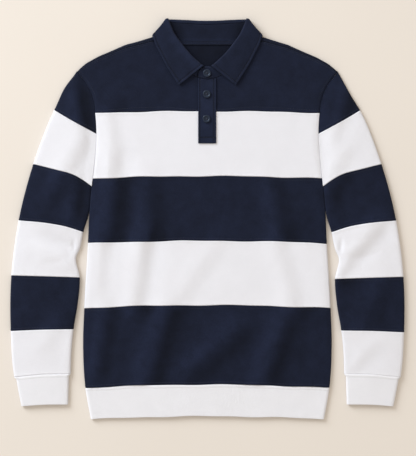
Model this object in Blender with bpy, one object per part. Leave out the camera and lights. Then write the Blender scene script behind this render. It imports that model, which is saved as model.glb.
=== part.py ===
"""Long-sleeve polo shirt in broad navy and white blocks, laid flat on its back.

Sizes are in mm. +X is to the viewer's right, +Y towards the collar, +Z up from the surface it
lies on. Outlines are held for the right half, with x measured from the centre line.
"""

from collections import namedtuple

import bpy
import numpy as np

MM = 0.001
WALL = 2.1  # cloth of the body and the sleeves
GAP = 0.3  # between neighbouring pieces
SEAM = GAP / 2  # each side of a seam line

# Heights of the outer faces above the surface
FRONT_Z = 7.4
FRONT_EDGE_Z = 5.1
BACK_EDGE_Z = 0.6
EDGE_ROLL = 12.0
LEAST_FRONT_Z = 5.1
COLLAR_LIFT = 2.5

Row = namedtuple("Row", "y half")
BODY_SIDE = [
    Row(-381.0, 221.9),
    Row(-320.9, 232.2),
    Row(-238.5, 236.6),
    Row(-167.0, 234.3),
    Row(-43.5, 227.2),
    Row(7.8, 225.0),
    Row(51.5, 221.4),
    Row(74.3, 218.5),
    Row(120.0, 213.6),
    Row(162.5, 211.3),
    Row(200.3, 213.4),
    Row(227.1, 217.2),
    Row(241.3, 221.9),
    Row(257.1, 229.9),
    Row(269.6, 239.2),
    Row(280.3, 248.0),
]

Border = namedtuple("Border", "centre side")
YOKE_HEM = Border(205.6, 200.3)
BORDERS = [YOKE_HEM, Border(81.1, 75.2), Border(-40.5, -45.4), Border(-163.6, -169.7)]
RIB_SEAM = Border(-314.3, -320.9)
RIB_HEM = Border(-374.9, -381.0)
BORDERS.append(RIB_SEAM)

Point = namedtuple("Point", "x y")
SHOULDER = [
    Point(101.8, 346.4),
    Point(152.6, 331.0),
    Point(181.1, 317.7),
    Point(207.9, 306.7),
    Point(229.9, 294.9),
    Point(248.0, 280.3),
]
SHOULDER_ROLL = 5.0
SEAM_FORWARD_NECK = 8.5
SEAM_FORWARD_ARM = 3.0
SHOULDER_COLUMNS = np.linspace(SHOULDER[0].x, 240.0, 9)[1:]
SEAM_END = 246.45  # where the forward seam and the back's turn meet the armhole
WRAP_END = 245.1
FRONT_NECK = [
    Point(0.0, 265.2),
    Point(17.1, 268.5),
    Point(25.5, 273.0),
    Point(44.0, 286.0),
    Point(65.0, 305.5),
    Point(80.0, 321.5),
    Point(93.0, 333.3),
    Point(101.8, 337.9),
]
BACK_NECK = [Point(0.0, 337.4), Point(35.0, 337.6), Point(72.0, 338.4), Point(101.8, 341.4)]

# Placket
SLIT_LEFT = -12.0
SLIT_RIGHT = 14.3
SLIT_END = 150.0
PLACKET_LEFT = -17.5
PLACKET_RIGHT = 16.7
PLACKET_END = 143.8
STRIP = 2.1

# Sleeves, from the armhole to the cuff hem
SLEEVE_OUTER = [
    Point(251.0, 275.6),
    Point(291.1, 207.3),
    Point(331.2, 104.7),
    Point(359.1, -2.3),
    Point(371.0, -107.0),
    Point(373.5, -212.6),
    Point(364.6, -301.9),
    Point(354.0, -356.1),
]
SLEEVE_INNER = [
    [Point(245.9, 277.2), Point(229.9, 257.1), Point(217.2, 227.1), Point(213.4, 200.3)],
    [Point(211.3, 162.5), Point(213.6, 120.0)],
    [Point(219.9, 62.5), Point(226.1, 7.8)],
    [Point(236.0, -24.5), Point(243.8, -58.7), Point(249.1, -70.1)],
    [Point(242.8, -111.0), Point(246.5, -160.0)],
    [Point(254.6, -209.2), Point(258.6, -250.0)],
    [Point(260.3, -294.3)],
    [Point(264.9, -352.6)],
]
SLEEVE_BORDERS = [
    [],
    [Point(262.0, 190.0)],
    [Point(295.3, 95.6), Point(249.9, 82.1), Point(237.5, 74.9)],
    [Point(305.5, -7.4), Point(270.6, -13.7)],
    [Point(307.6, -108.7)],
    [Point(313.7, -210.0)],
    [Point(313.7, -295.1)],
    [Point(313.7, -353.0)],
]
SLEEVE_ROLL = 6.0
SLEEVE_WALL = 2.0

Edge = namedtuple("Edge", "inner crest outer")
SLEEVE_HEIGHTS = [
    Edge(4.9, 5.2, 4.9),
    Edge(5.1, 9.6, 7.4),
    Edge(5.8, 10.2, 8.0),
    Edge(6.8, 9.2, 8.0),
    Edge(7.4, 9.4, 8.0),
    Edge(7.4, 9.0, 8.0),
    Edge(7.2, 8.6, 7.4),
    Edge(6.4, 7.0, 6.4),
]

# Folds run from (x0, y0) to (x1, y1): a crest on the viewer's left of that line, a trough on its right
Fold = namedtuple("Fold", "x0 y0 x1 y1 width height")
BODY_FOLDS = [
    Fold(-180, 190, -172, 105, 15, 1.3),
    Fold(-172, 105, -186, -30, 18, 1.6),
    Fold(-110, 60, -110, -40, 18, 0.9),
    Fold(-113, -45, -130, -158, 16, 2.2),
    Fold(-196, -55, -201, -125, 14, 1.0),
    Fold(12, -70, -40, -142, 18, 0.9),
    Fold(143, -55, 171, -155, 17, 1.5),
    Fold(124, 62, 144, -20, 17, 0.9),
    Fold(-77, -186, -110, -300, 17, 1.7),
    Fold(50, -222, -20, -284, 18, 1.3),
    Fold(151, -190, 113, -300, 17, 1.6),
    Fold(-190, -178, -207, -284, 14, 1.2),
]
LEFT_SLEEVE_FOLDS = [
    Fold(-243, 232, -232, 165, 14, 1.0),
    Fold(-240, 130, -282, 60, 16, 1.3),
    Fold(-244, 70, -252, 15, 14, 1.1),
    Fold(-302, -48, -250, -78, 14, 1.9),
    Fold(-270, -190, -300, -245, 16, 0.7),
]
RIGHT_SLEEVE_FOLDS = [
    Fold(262, 240, 246, 165, 16, 1.6),
    Fold(262, 115, 238, 62, 16, 1.2),
    Fold(318, -30, 262, -92, 16, 2.2),
    Fold(330, -140, 300, -205, 16, 0.6),
    Fold(310, -255, 280, -285, 14, 0.9),
]

# Collar: for each station from the front edge to the centre back, the roll's crest, the fall's
# outer edge, the neck seam, and the turn of the section, 90 on the front and -90 on the back
Station = namedtuple("Station", "roll_x roll_y edge_x edge_y neck_x neck_y turn")
COLLAR = [
    Station(7.2, 291.1, 54.0, 254.1, 17.1, 268.5, 90),
    Station(13.0, 295.7, 57.9, 259.9, 25.5, 273.0, 90),
    Station(30.8, 312.0, 67.5, 274.5, 44.0, 286.0, 90),
    Station(50.2, 335.2, 80.5, 296.0, 65.0, 305.5, 90),
    Station(62.5, 353.0, 91.0, 316.5, 80.0, 321.5, 90),
    Station(70.5, 371.0, 98.5, 334.0, 93.0, 333.3, 90),
    Station(73.2, 378.5, 99.0, 346.5, 97.9, 342.3, 90),
    Station(74.4, 379.9, 102.2, 349.4, 99.4, 344.4, 45),
    Station(75.2, 380.2, 103.2, 350.2, 100.2, 345.4, 0),
    Station(74.4, 380.2, 102.2, 349.4, 99.4, 344.4, -45),
    Station(72.0, 380.1, 99.0, 346.5, 97.9, 341.9, -90),
    Station(61.0, 379.8, 90.0, 336.0, 88.0, 339.8, -90),
    Station(45.0, 379.1, 70.0, 324.0, 72.0, 338.4, -90),
    Station(20.0, 377.9, 35.0, 315.5, 35.0, 337.6, -90),
    Station(0.0, 377.4, 0.0, 313.0, 0.0, 337.4, -90),
]
ROLL_RADIUS = 3.3
ROLL_FRONT_Z = 11.3
ROLL_BACK_Z = 3.3
FALL_WALL = 2.2
STAND_WALL = 2.1
LIP = 4.0

# The neckband's button end, over the slit: top and bottom edge, and height of the underside
Tab = namedtuple("Tab", "top_x top_y low_x low_y z")
TAB = [
    Tab(9.8, 288.3, 11.0, 267.3, 7.7),
    Tab(5.5, 290.3, 5.5, 266.2, 7.7),
    Tab(0.0, 290.5, 0.0, 265.2, 7.7),
    Tab(-7.0, 289.2, -7.0, 266.5, 7.7),
    Tab(-12.9, 285.2, -12.9, 267.7, 7.7),
    Tab(-17.3, 279.5, -17.3, 268.6, 7.7),
]

TAPE_HALF = 70.0
TAPE_LOW = 331.3
TAPE_TOP = 339.3
TAPE_Z = 5.0
TAPE_THICK = 1.0

BUTTON_RADIUS = 7.4
BUTTON_THICK = 2.6
BUTTONS = [Point(-0.8, 277.0), Point(-1.3, 237.3), Point(-1.7, 190.4)]

NAVY = (0.017, 0.021, 0.038)
WHITE = (0.80, 0.80, 0.83)
BUTTON_NAVY = (0.022, 0.027, 0.046)


def clear_scene():
    for obj in list(bpy.data.objects):
        bpy.data.objects.remove(obj)


def material(name, colour, roughness):
    made = bpy.data.materials.new(name)
    made.use_nodes = True
    principled = made.node_tree.nodes["Principled BSDF"]
    principled.inputs["Base Color"].default_value = (*colour, 1)
    principled.inputs["Roughness"].default_value = roughness
    return made


def collection(name):
    made = bpy.data.collections.new(name)
    bpy.context.scene.collection.children.link(made)
    return made


def spline(points, at):
    """The smooth curve through the points, where `at` 0 is the first point, 1 the second and so on."""
    points = np.asarray(points, float)
    step = np.diff(points, axis=0)
    length = np.linalg.norm(step, axis=1)[:, None]
    chord = step / length
    slope = np.concatenate([chord[:1], chord, chord[-1:]])
    before, after = length[:-1], length[1:]
    slope = np.concatenate(
        [chord[:1], (chord[:-1] * after + chord[1:] * before) / (before + after), chord[-1:]]
    )
    at = np.clip(np.asarray(at, float), 0, len(points) - 1)
    k = np.minimum(at.astype(int), len(points) - 2)
    f = (at - k)[:, None]
    reach = length[k]
    return (
        (1 + 2 * f) * (1 - f) ** 2 * points[k]
        + f * (1 - f) ** 2 * reach * slope[k]
        + f**2 * (3 - 2 * f) * points[k + 1]
        - f**2 * (1 - f) * reach * slope[k + 1]
    )


def along(points, share, first=0, last=None):
    """Points of the spline at these shares of its length between two of its knots."""
    points = np.asarray(points, float)
    last = len(points) - 1 if last is None else last
    run = np.r_[0, np.cumsum(np.linalg.norm(np.diff(points, axis=0), axis=1))]
    wanted = run[first] + np.asarray(share, float) * (run[last] - run[first])
    return spline(points, np.interp(wanted, run, np.arange(len(points))))


def side(y):
    """Half width of the body at y, by a smooth curve through BODY_SIDE."""
    ys = np.array([row.y for row in BODY_SIDE])
    halves = np.array([row.half for row in BODY_SIDE])
    step = np.diff(ys)
    slope = np.diff(halves) / step
    inner = (slope[:-1] * step[1:] + slope[1:] * step[:-1]) / (step[:-1] + step[1:])
    slope = np.r_[slope[0], inner, slope[-1]]
    y = np.asarray(y, float)
    k = np.clip(np.searchsorted(ys, y) - 1, 0, len(ys) - 2)
    f = np.clip((y - ys[k]) / step[k], 0, None)
    over = np.maximum(f - 1, 0) * step[k] * slope[k + 1]
    f = np.minimum(f, 1)
    return (
        (1 + 2 * f) * (1 - f) ** 2 * halves[k]
        + f * (1 - f) ** 2 * step[k] * slope[k]
        + f**2 * (3 - 2 * f) * halves[k + 1]
        - f**2 * (1 - f) * step[k] * slope[k + 1]
        + over
    )


def shoulder_y(x):
    return np.interp(np.abs(x), [p.x for p in SHOULDER], [p.y for p in SHOULDER])


def seam_forward(x):
    """How far below the shoulder fold the forward shoulder seam lies."""
    ends = [SHOULDER[0].x, SHOULDER[-1].x]
    return np.interp(np.abs(x), ends, [SEAM_FORWARD_NECK, SEAM_FORWARD_ARM])


def smooth_step(value):
    value = np.clip(value, 0, 1)
    return value * value * (3 - 2 * value)


def fold_height(x, y, folds):
    z = np.zeros(np.broadcast(x, y).shape)
    for fold in folds:
        dx, dy = fold.x1 - fold.x0, fold.y1 - fold.y0
        length = np.hypot(dx, dy)
        run = ((x - fold.x0) * dx + (y - fold.y0) * dy) / length
        across = ((y - fold.y0) * dx - (x - fold.x0) * dy) / length / fold.width
        past = np.maximum(np.maximum(-run, run - length), 0) / (1.4 * fold.width)
        z -= fold.height * across * np.exp((1 - across**2 - past**2) / 2)
    return z


def front_z(x, y):
    """Top of the front: level inside, lower at the side and at the shoulder, with its folds."""
    edge = np.maximum(side(y) - np.abs(x), 0)
    z = FRONT_Z - (FRONT_Z - FRONT_EDGE_Z) * (1 - np.minimum(edge / EDGE_ROLL, 1)) ** 2
    z = z + fold_height(x, y, BODY_FOLDS) * smooth_step(edge / 30)
    below = (shoulder_y(x) - y) * 0.88
    round_off = 1 - np.clip(below / SHOULDER_ROLL, 0, 1)
    near_shoulder = (np.abs(x) > 95) & (y > 250)
    z = z - np.where(near_shoulder, 3.4 * (1 - np.sqrt(1 - round_off**2)), 0)
    return np.maximum(z, LEAST_FRONT_Z)


def back_z(x, y):
    """Underside of the back: flat on the floor, curled up at the side, raised over the fall."""
    edge = np.maximum(side(y) - np.abs(x), 0)
    curl = BACK_EDGE_Z * (1 - np.minimum(edge / 6, 1)) ** 2
    across = 1 - smooth_step((np.abs(x) - 106) / 24)
    return curl + COLLAR_LIFT * across * smooth_step((y - 276) / 18)


def patch(top, bottom, left, right, down, across):
    """Coons patch between four edges, each a function of the share of the way along it."""
    shape = down.shape
    s, t = down.reshape(-1), across.reshape(-1)
    zero, one = np.zeros(1), np.ones(1)
    corners = (
        ((1 - s) * (1 - t))[:, None] * top(zero)
        + ((1 - s) * t)[:, None] * top(one)
        + (s * (1 - t))[:, None] * bottom(zero)
        + (s * t)[:, None] * bottom(one)
    )
    flat = (
        (1 - s)[:, None] * top(t)
        + s[:, None] * bottom(t)
        + (1 - t)[:, None] * left(s)
        + t[:, None] * right(s)
        - corners
    )
    return flat[:, 0].reshape(shape), flat[:, 1].reshape(shape)


def raised(x, y, z):
    return np.stack([x, y, z * np.ones(np.shape(x))], axis=-1)


def shell(name, outer, inner, slot, into, ring=False, keep=None):
    """One closed cloth solid between two grids of points [rows, columns, 3]."""
    rows, columns = outer.shape[:2]
    index = np.arange(rows * columns).reshape(rows, columns)
    if ring:
        index = np.concatenate([index, index[:, :1]], axis=1)
    quads = np.stack([index[:-1, :-1], index[1:, :-1], index[1:, 1:], index[:-1, 1:]], axis=-1)
    quads = quads[keep] if keep is not None else quads.reshape(-1, 4)
    faces = np.concatenate([quads[:, [0, 1, 2]], quads[:, [0, 2, 3]]])
    sides = np.concatenate([quads[:, [0, 1]], quads[:, [1, 2]], quads[:, [2, 3]], quads[:, [3, 0]]])
    pairs = {(int(a), int(b)) for a, b in sides}
    rim = np.array([pair for pair in sorted(pairs) if pair[::-1] not in pairs])
    under = rows * columns
    a, b = rim[:, 0], rim[:, 1]
    walls = np.concatenate([np.stack([b, a, a + under], 1), np.stack([b, a + under, b + under], 1)])
    faces = np.concatenate([faces, faces[:, ::-1] + under, walls])
    points = np.concatenate([outer.reshape(-1, 3), inner.reshape(-1, 3)])
    used, faces = np.unique(faces, return_inverse=True)
    points, faces = points[used] * MM, faces.reshape(-1, 3)
    corners = points[faces]
    if np.linalg.det(corners).sum() < 0:
        faces = faces[:, ::-1]
    mesh = bpy.data.meshes.new(name)
    mesh.from_pydata(points.tolist(), [], faces.tolist())
    mesh.materials.append(slot)
    obj = bpy.data.objects.new(name, mesh)
    into.objects.link(obj)
    return obj


def boolean(obj, cutter):
    modifier = obj.modifiers.new(cutter.name, "BOOLEAN")
    modifier.operation = "DIFFERENCE"
    modifier.solver = "EXACT"
    modifier.object = cutter


def spread(edge_steps, count):
    """Columns from -1 to 1: close together at each edge, evenly spaced between."""
    inside = np.linspace(-edge_steps[-1], edge_steps[-1], count)
    outside = np.array(edge_steps[:-1])
    return np.r_[-outside, inside, outside[::-1]]


def border_y(border, u):
    return border.centre + (border.side - border.centre) * u**2


def body_band(upper, lower, u, rows):
    """Grid of a body panel from side to side, short of each seam line by SEAM."""
    down = np.linspace(0, 1, rows)[:, None]
    top = border_y(upper, u) - SEAM
    low = border_y(lower, u) + SEAM
    y = top * (1 - down) + low * down
    ends = (upper.side - SEAM) * (1 - down) + (lower.side + SEAM) * down
    return u * side(ends), y


def front_band(name, upper, lower, slot, into):
    x, y = body_band(upper, lower, spread([1, 0.985, 0.965, 0.94], 26), 8)
    top = front_z(x, y)
    return shell(name, raised(x, y, top), raised(x, y, top - WALL), slot, into)


def back_band(name, upper, lower, slot, into):
    x, y = body_band(upper, lower, spread([1, 0.97], 9), 6)
    low = back_z(x, y)
    return shell(name, raised(x, y, low + WALL), raised(x, y, low), slot, into)


def front_yoke(name, direction, slit, slot, into):
    """Half of the front yoke, from the slit to the armhole, with its neck and shoulder edges."""
    start = slit
    neck_first = float(np.interp(start, [p.x for p in FRONT_NECK], [p.y for p in FRONT_NECK]))
    neck = [Point(start, neck_first)] + [p for p in FRONT_NECK if p.x > start + 1]
    neck = [Point(p.x, p.y - 2 * SEAM) for p in neck]
    arm_x = np.r_[SHOULDER_COLUMNS, SEAM_END]
    arm = [Point(v, float(shoulder_y(v) - seam_forward(v))) for v in arm_x]
    top = np.array(neck + arm)
    knots = np.r_[
        np.linspace(0, 0.44, len(neck)),
        np.linspace(0.44, 1, len(arm) + 1)[1:],
    ]
    close = [0.965, 0.985]
    near_arm = np.stack([np.interp(close, knots, top[:, i]) for i in (0, 1)], axis=1)
    knots = np.insert(knots, -1, close)
    top = np.insert(top, -1, near_arm, axis=0)
    bottom_x = start + (side(YOKE_HEM.side) - start) * knots
    bottom = np.stack(
        [bottom_x, border_y(YOKE_HEM, bottom_x / side(YOKE_HEM.side)) + SEAM], axis=1
    )
    down = np.linspace(0, 1, 9)
    arm_y = top[-1, 1] * (1 - down) + bottom[-1, 1] * down

    def across(points):
        return lambda t: np.stack([np.interp(t, knots, points[:, i]) for i in (0, 1)], axis=1)

    def slit_edge(s):
        ys = top[0, 1] * (1 - s) + bottom[0, 1] * s
        return np.stack([np.full_like(s, start), ys], axis=1)

    def armhole(s):
        ys = np.interp(s, down, arm_y)
        return np.stack([side(ys), ys], axis=1)

    s, t = np.meshgrid(down, knots, indexing="ij")
    x, y = patch(across(top), across(bottom), slit_edge, armhole, s, t)
    x = direction * x
    z = front_z(x, y)
    return shell(name, raised(x, y, z), raised(x, y, z - WALL), slot, into)


def back_yoke(name, slot, into):
    """The back yoke, and where it comes over the shoulder fold to the forward seam."""
    neck = np.array(BACK_NECK)
    neck[:, 1] -= SEAM
    arm_x = np.r_[SHOULDER_COLUMNS, WRAP_END]
    turn = SHOULDER_ROLL / 0.88
    arm = np.array([(v, shoulder_y(v) - turn) for v in arm_x])
    half = np.concatenate([neck, arm])
    shares = np.r_[np.linspace(0, 0.42, len(neck)), np.linspace(0.42, 1, len(arm) + 1)[1:]]
    top = np.concatenate([half[:0:-1] * (-1, 1), half])
    t = np.r_[-shares[:0:-1], shares]
    down = np.linspace(0, 1, 8)
    low_x = t * side(YOKE_HEM.side)
    low = np.stack([low_x, border_y(YOKE_HEM, t) + SEAM], axis=1)
    share = (t + 1) / 2

    def across(points):
        return lambda v: np.stack([np.interp(v, share, points[:, i]) for i in (0, 1)], axis=1)

    def armhole(direction):
        def edge(s):
            ys = top[0, 1] * (1 - s) + low[0, 1] * s
            return np.stack([direction * side(ys), ys], axis=1)

        return edge

    s, v = np.meshgrid(down, share, indexing="ij")
    x, y = patch(across(top), across(low), armhole(-1), armhole(1), s, v)
    z = back_z(x, y)
    floor_outer, floor_inner = raised(x, y, z), raised(x, y, z + WALL)
    outer, inner = [floor_outer], [floor_inner]
    x = x[0]
    base = back_z(x, y[0])
    crest = front_z(x, shoulder_y(x) - SHOULDER_ROLL)
    fold = shoulder_y(x)
    forward = seam_forward(x) - GAP
    half_high = (crest - base) / 2
    middle = base + half_high
    last = np.arccos(np.clip(1 - forward * 0.88 / SHOULDER_ROLL, -1, 1))
    for share in (0.25, 0.5, 0.75, 1.0):
        angle = -np.pi / 2 + share * (np.pi / 2 + last)
        for rows, wall in ((outer, 0.0), (inner, WALL)):
            depth = SHOULDER_ROLL - (SHOULDER_ROLL - wall) * np.cos(angle)
            high = middle + (half_high - wall) * np.sin(angle)
            if share == 1.0:
                depth = np.maximum(forward * 0.88, SHOULDER_ROLL * (1 - np.cos(last)))
            rows.insert(0, raised(x, fold - depth / 0.88, high)[None])
    keep = np.ones((len(down) + 3, len(t) - 1), bool)
    shoulder = np.abs(t) > 0.41
    keep[:4] = (shoulder[:-1] & shoulder[1:])[None]
    return shell(name, np.concatenate(outer), np.concatenate(inner), slot, into, keep=keep)


SLEEVE_STARTS = [0, 4, 6, 8, 11, 13, 15, 16]


def sleeve_knots():
    flat = [p for group in SLEEVE_INNER for p in group]
    shift = [0.6, 0.6, 0.6, 0.6, 0.6, 0.6, 0.8, 0.8]
    shift += [0.0] * (len(flat) - len(shift))
    return np.array([(p.x + more, p.y) for p, more in zip(flat, shift)])


def sleeve_border(number, share):
    knots = sleeve_knots()
    start = knots[SLEEVE_STARTS[number]]
    points = [SLEEVE_OUTER[number]] + SLEEVE_BORDERS[number] + [start]
    return along(np.array(points)[::-1], share)


def sleeve_patch(number, down, across):
    """x and y inside a sleeve band, down its length and across from its inner edge."""
    knots = sleeve_knots()
    first, last = SLEEVE_STARTS[number], SLEEVE_STARTS[number + 1]
    return patch(
        lambda t: sleeve_border(number, t),
        lambda t: sleeve_border(number + 1, t),
        lambda s: along(knots, s, first, last),
        lambda s: along(SLEEVE_OUTER, s, number, number + 1),
        down,
        across,
    )


def tube(name, where, stations, heights, closed, counts, slot, into, mirror=1, folds=(), roll=SLEEVE_ROLL):
    """A flattened tube of cloth. `where` gives x and y at a share down and a share across."""
    tops, rounds, lows = counts
    outer, inner = [], []
    for share in stations:
        ends_x, ends_y = where(np.array([share, share]), np.array([0.0, 1.0]))
        width = float(np.hypot(np.diff(ends_x), np.diff(ends_y))[0])
        turn = min(roll, 0.42 * width)
        wall = min(SLEEVE_WALL, turn - 0.4)
        high = Edge(*(np.asarray(heights[0]) * (1 - share) + np.asarray(heights[1]) * share))
        bend = np.linspace(np.pi / 2, -np.pi / 2, rounds + 2)[1:-1]
        start = turn / width if closed else 0.0
        end = 1 - turn / width
        across = np.linspace(turn / width, end, tops)
        if not closed:
            across = np.insert(across, 0, 0)
        level = (across - start) / (end - start)
        x, y = where(np.full(len(across), share), across)
        rise = (high.crest - (high.inner + high.outer) / 2) * np.sin(np.pi * level) ** 0.8
        fade = smooth_step(np.minimum(across, 1 - across) * width / 22)
        top = high.inner + (high.outer - high.inner) * level + rise
        top = top + fade * fold_height(mirror * x, y, folds)
        top = np.maximum(top, min(high.inner, high.outer) - 0.2)
        for rows, step in ((outer, 0.0), (inner, wall)):
            reach = turn - (turn - step) * np.cos(bend)
            sides = [(across, top - step)]
            half = high.outer / 2
            sides.append((1 - reach / width, half + (half - step) * np.sin(bend)))
            low = np.linspace(end, turn / width, lows)
            flat = np.full(lows, step)
            if not closed:
                low = np.append(low, 0)
                flat = np.append(flat, step + BACK_EDGE_Z)
            sides.append((low, flat))
            if closed:
                half = high.inner / 2
                sides.append((reach[::-1] / width, half - (half - step) * np.sin(bend)))
            t = np.concatenate([a for a, _ in sides])
            z = np.concatenate([b for _, b in sides])
            x_all, y_all = where(np.full(len(t), share), t)
            rows.append(raised(mirror * x_all, y_all, z))
    return shell(name, np.array(outer), np.array(inner), slot, into, ring=closed)


def sleeve(side_name, direction, folds, slots, into):
    for number in range(7):
        length = abs(SLEEVE_OUTER[number].y - SLEEVE_OUTER[number + 1].y)
        short = SEAM / length
        count = 7 if number == 0 else 6 if number < 4 else 5
        if number == 6:
            count = 3
        name = f"cuff_{side_name}" if number == 6 else f"sleeve_{side_name}_band_{number + 1}"
        tube(
            name,
            lambda s, t, n=number: sleeve_patch(n, s, t),
            np.linspace(short, 1 - short, count),
            SLEEVE_HEIGHTS[number : number + 2],
            number > 1,
            (10, 3, 5),
            slots[number],
            into,
            direction,
            folds,
        )


def hem_rib(name, slot, into):
    def where(down, across):
        u = 2 * across - 1
        top, low = border_y(RIB_SEAM, u) - SEAM, border_y(RIB_HEM, u)
        ends = (RIB_SEAM.side - SEAM) * (1 - down) + RIB_HEM.side * down
        return u * side(ends), top * (1 - down) + low * down

    high = (Edge(6.2, 7.2, 6.2), Edge(5.8, 6.6, 5.8))
    return tube(name, where, (0.0, 0.33, 0.67, 1.0), high, True, (26, 3, 8), slot, into, roll=5.0)


def collar_frame(station, mirror):
    """Axes of a collar section: out over the crest of the roll, and from the lip to the fall."""
    crest = np.array([mirror * station.roll_x, station.roll_y, 0.0])
    edge = np.array([mirror * station.edge_x, station.edge_y, 0.0])
    neck = np.array([mirror * station.neck_x, station.neck_y, 0.0])
    out = (crest - edge) / np.linalg.norm(crest - edge)
    turn = np.radians(station.turn)
    sideways = np.array([mirror * 0.752, 0.659, 0.0])
    sideways = sideways - out * (sideways @ out)
    sideways /= np.linalg.norm(sideways)
    fall = np.cos(turn) * sideways + np.sin(turn) * np.array([0.0, 0.0, 1.0])
    blend = (np.sin(turn) + 1) / 2
    crest[2] = ROLL_BACK_Z + (ROLL_FRONT_Z - ROLL_BACK_Z) * blend
    edge[2] = (FRONT_Z + GAP + FALL_WALL) * blend
    neck[2] = (COLLAR_LIFT + WALL / 2) * (1 - blend) + (FRONT_Z - WALL / 2) * blend
    return crest, edge, neck, out, fall


def collar_stations():
    """The whole ring of stations, from the right front edge round the back to the left."""
    right = [(station, 1) for station in COLLAR]
    return right + [(station, -1) for station in COLLAR[-2::-1]]


def collar_fall(name, slot, into):
    outer, inner = [], []
    for station, mirror in collar_stations():
        crest, edge, _, out, fall = collar_frame(station, mirror)
        centre = crest - ROLL_RADIUS * out
        bend = np.radians(np.linspace(-90, 90, 6))
        for rows, radius in ((outer, ROLL_RADIUS), (inner, ROLL_RADIUS - FALL_WALL)):
            arc = centre + radius * (np.cos(bend)[:, None] * out + np.sin(bend)[:, None] * fall)
            lip = arc[:1] - LIP * out
            end = edge - (ROLL_RADIUS - radius) * fall
            share = np.array([0.2, 0.45, 0.72, 1.0])[:, None]
            leaf = arc[-1] * (1 - share) + end * share
            rows.append(np.concatenate([lip, arc, leaf]))
    return shell(name, np.array(outer), np.array(inner), slot, into)


def collar_stand(name, slot, into):
    outer, inner = [], []
    stations = collar_stations()[:-1]
    last = stations[-1][0]._replace(neck_x=19.5, neck_y=269.9)
    stations[-1] = (last, -1)
    for station, mirror in stations:
        crest, _, neck, out, fall = collar_frame(station, mirror)
        start = crest - ROLL_RADIUS * out - ROLL_RADIUS * fall - (LIP + GAP) * out
        end = neck - STAND_WALL / 2 * fall
        end = end + (start - end) / np.linalg.norm(start - end) * 0.35
        share = np.array([0, 0.35, 0.7, 1.0])[:, None]
        rows = start * (1 - share) + end * share
        outer.append(rows)
        inner.append(rows + STAND_WALL * fall)
    for tab in TAB:
        top = np.array([tab.top_x, tab.top_y, tab.z])
        low = np.array([tab.low_x, tab.low_y + 0.3, tab.z])
        share = np.array([0, 0.35, 0.7, 1.0])[:, None]
        rows = top * (1 - share) + low * share
        outer.insert(0, rows)
        inner.insert(0, rows + (0, 0, STAND_WALL))
    return shell(name, np.array(outer), np.array(inner), slot, into)


def neck_tape(name, slot, into):
    x = np.linspace(-TAPE_HALF, TAPE_HALF, 9)
    y = np.linspace(TAPE_LOW, TAPE_TOP, 4)[:, None] + 0 * x
    x = x + 0 * y
    z = TAPE_Z + np.clip((y - 337.0) * 0.06, 0, 1)
    return shell(name, raised(x, y, z + TAPE_THICK), raised(x, y, z), slot, into)


def placket(name, left, right, low_y, lift, wall, rows, slot, into):
    """A strip of the placket, `lift` above the underside of the front."""
    x = np.linspace(left, right, 5)
    neck = np.interp(np.abs(x), [p.x for p in FRONT_NECK], [p.y for p in FRONT_NECK]) - 0.4
    share = np.linspace(0, 1, rows)[:, None]
    y = neck * (1 - share) + low_y * share
    x = x + 0 * y
    z = front_z(x, y) - WALL + lift
    return shell(name, raised(x, y, z + wall), raised(x, y, z), slot, into)


def box_cutter(name, low, high, into):
    bpy.ops.mesh.primitive_cube_add(size=1)
    cutter = bpy.context.object
    cutter.name = name
    cutter.scale = [(b - a) * MM for a, b in zip(low, high)]
    cutter.location = [(a + b) / 2 * MM for a, b in zip(low, high)]
    return hidden(cutter, into)


def hidden(cutter, into):
    for holder in list(cutter.users_collection):
        holder.objects.unlink(cutter)
    into.objects.link(cutter)
    cutter.hide_render = True
    cutter.display_type = "WIRE"
    return cutter


def cylinder(name, radius, low, high, x, y, vertices, into):
    bpy.ops.mesh.primitive_cylinder_add(
        vertices=vertices,
        radius=radius * MM,
        depth=(high - low) * MM,
        location=(x * MM, y * MM, (low + high) / 2 * MM),
    )
    made = bpy.context.object
    made.name = name
    for holder in list(made.users_collection):
        holder.objects.unlink(made)
    into.objects.link(made)
    return made


def button(number, place, slot, into, cutters):
    """A button with a raised rim, a sunken centre and four holes."""
    low = 7.7 + STRIP + GAP if number == 1 else float(front_z(place.x, place.y)) + STRIP + 2 * GAP
    top = low + BUTTON_THICK
    disc = cylinder(f"button_{number}", BUTTON_RADIUS, low, top, place.x, place.y, 20, into)
    disc.data.materials.clear()
    disc.data.materials.append(slot)
    well = cylinder(f"well_{number}", BUTTON_RADIUS - 2.1, top - 0.9, top + 1, place.x, place.y, 16, cutters)
    boolean(disc, hidden(well, cutters))
    for hole, (dx, dy) in enumerate([(1.4, 1.4), (-1.4, 1.4), (-1.4, -1.4), (1.4, -1.4)]):
        drill = cylinder(
            f"hole_{number}_{hole + 1}", 0.8, low - 1, top + 1, place.x + dx, place.y + dy, 8, cutters
        )
        boolean(disc, hidden(drill, cutters))


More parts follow.
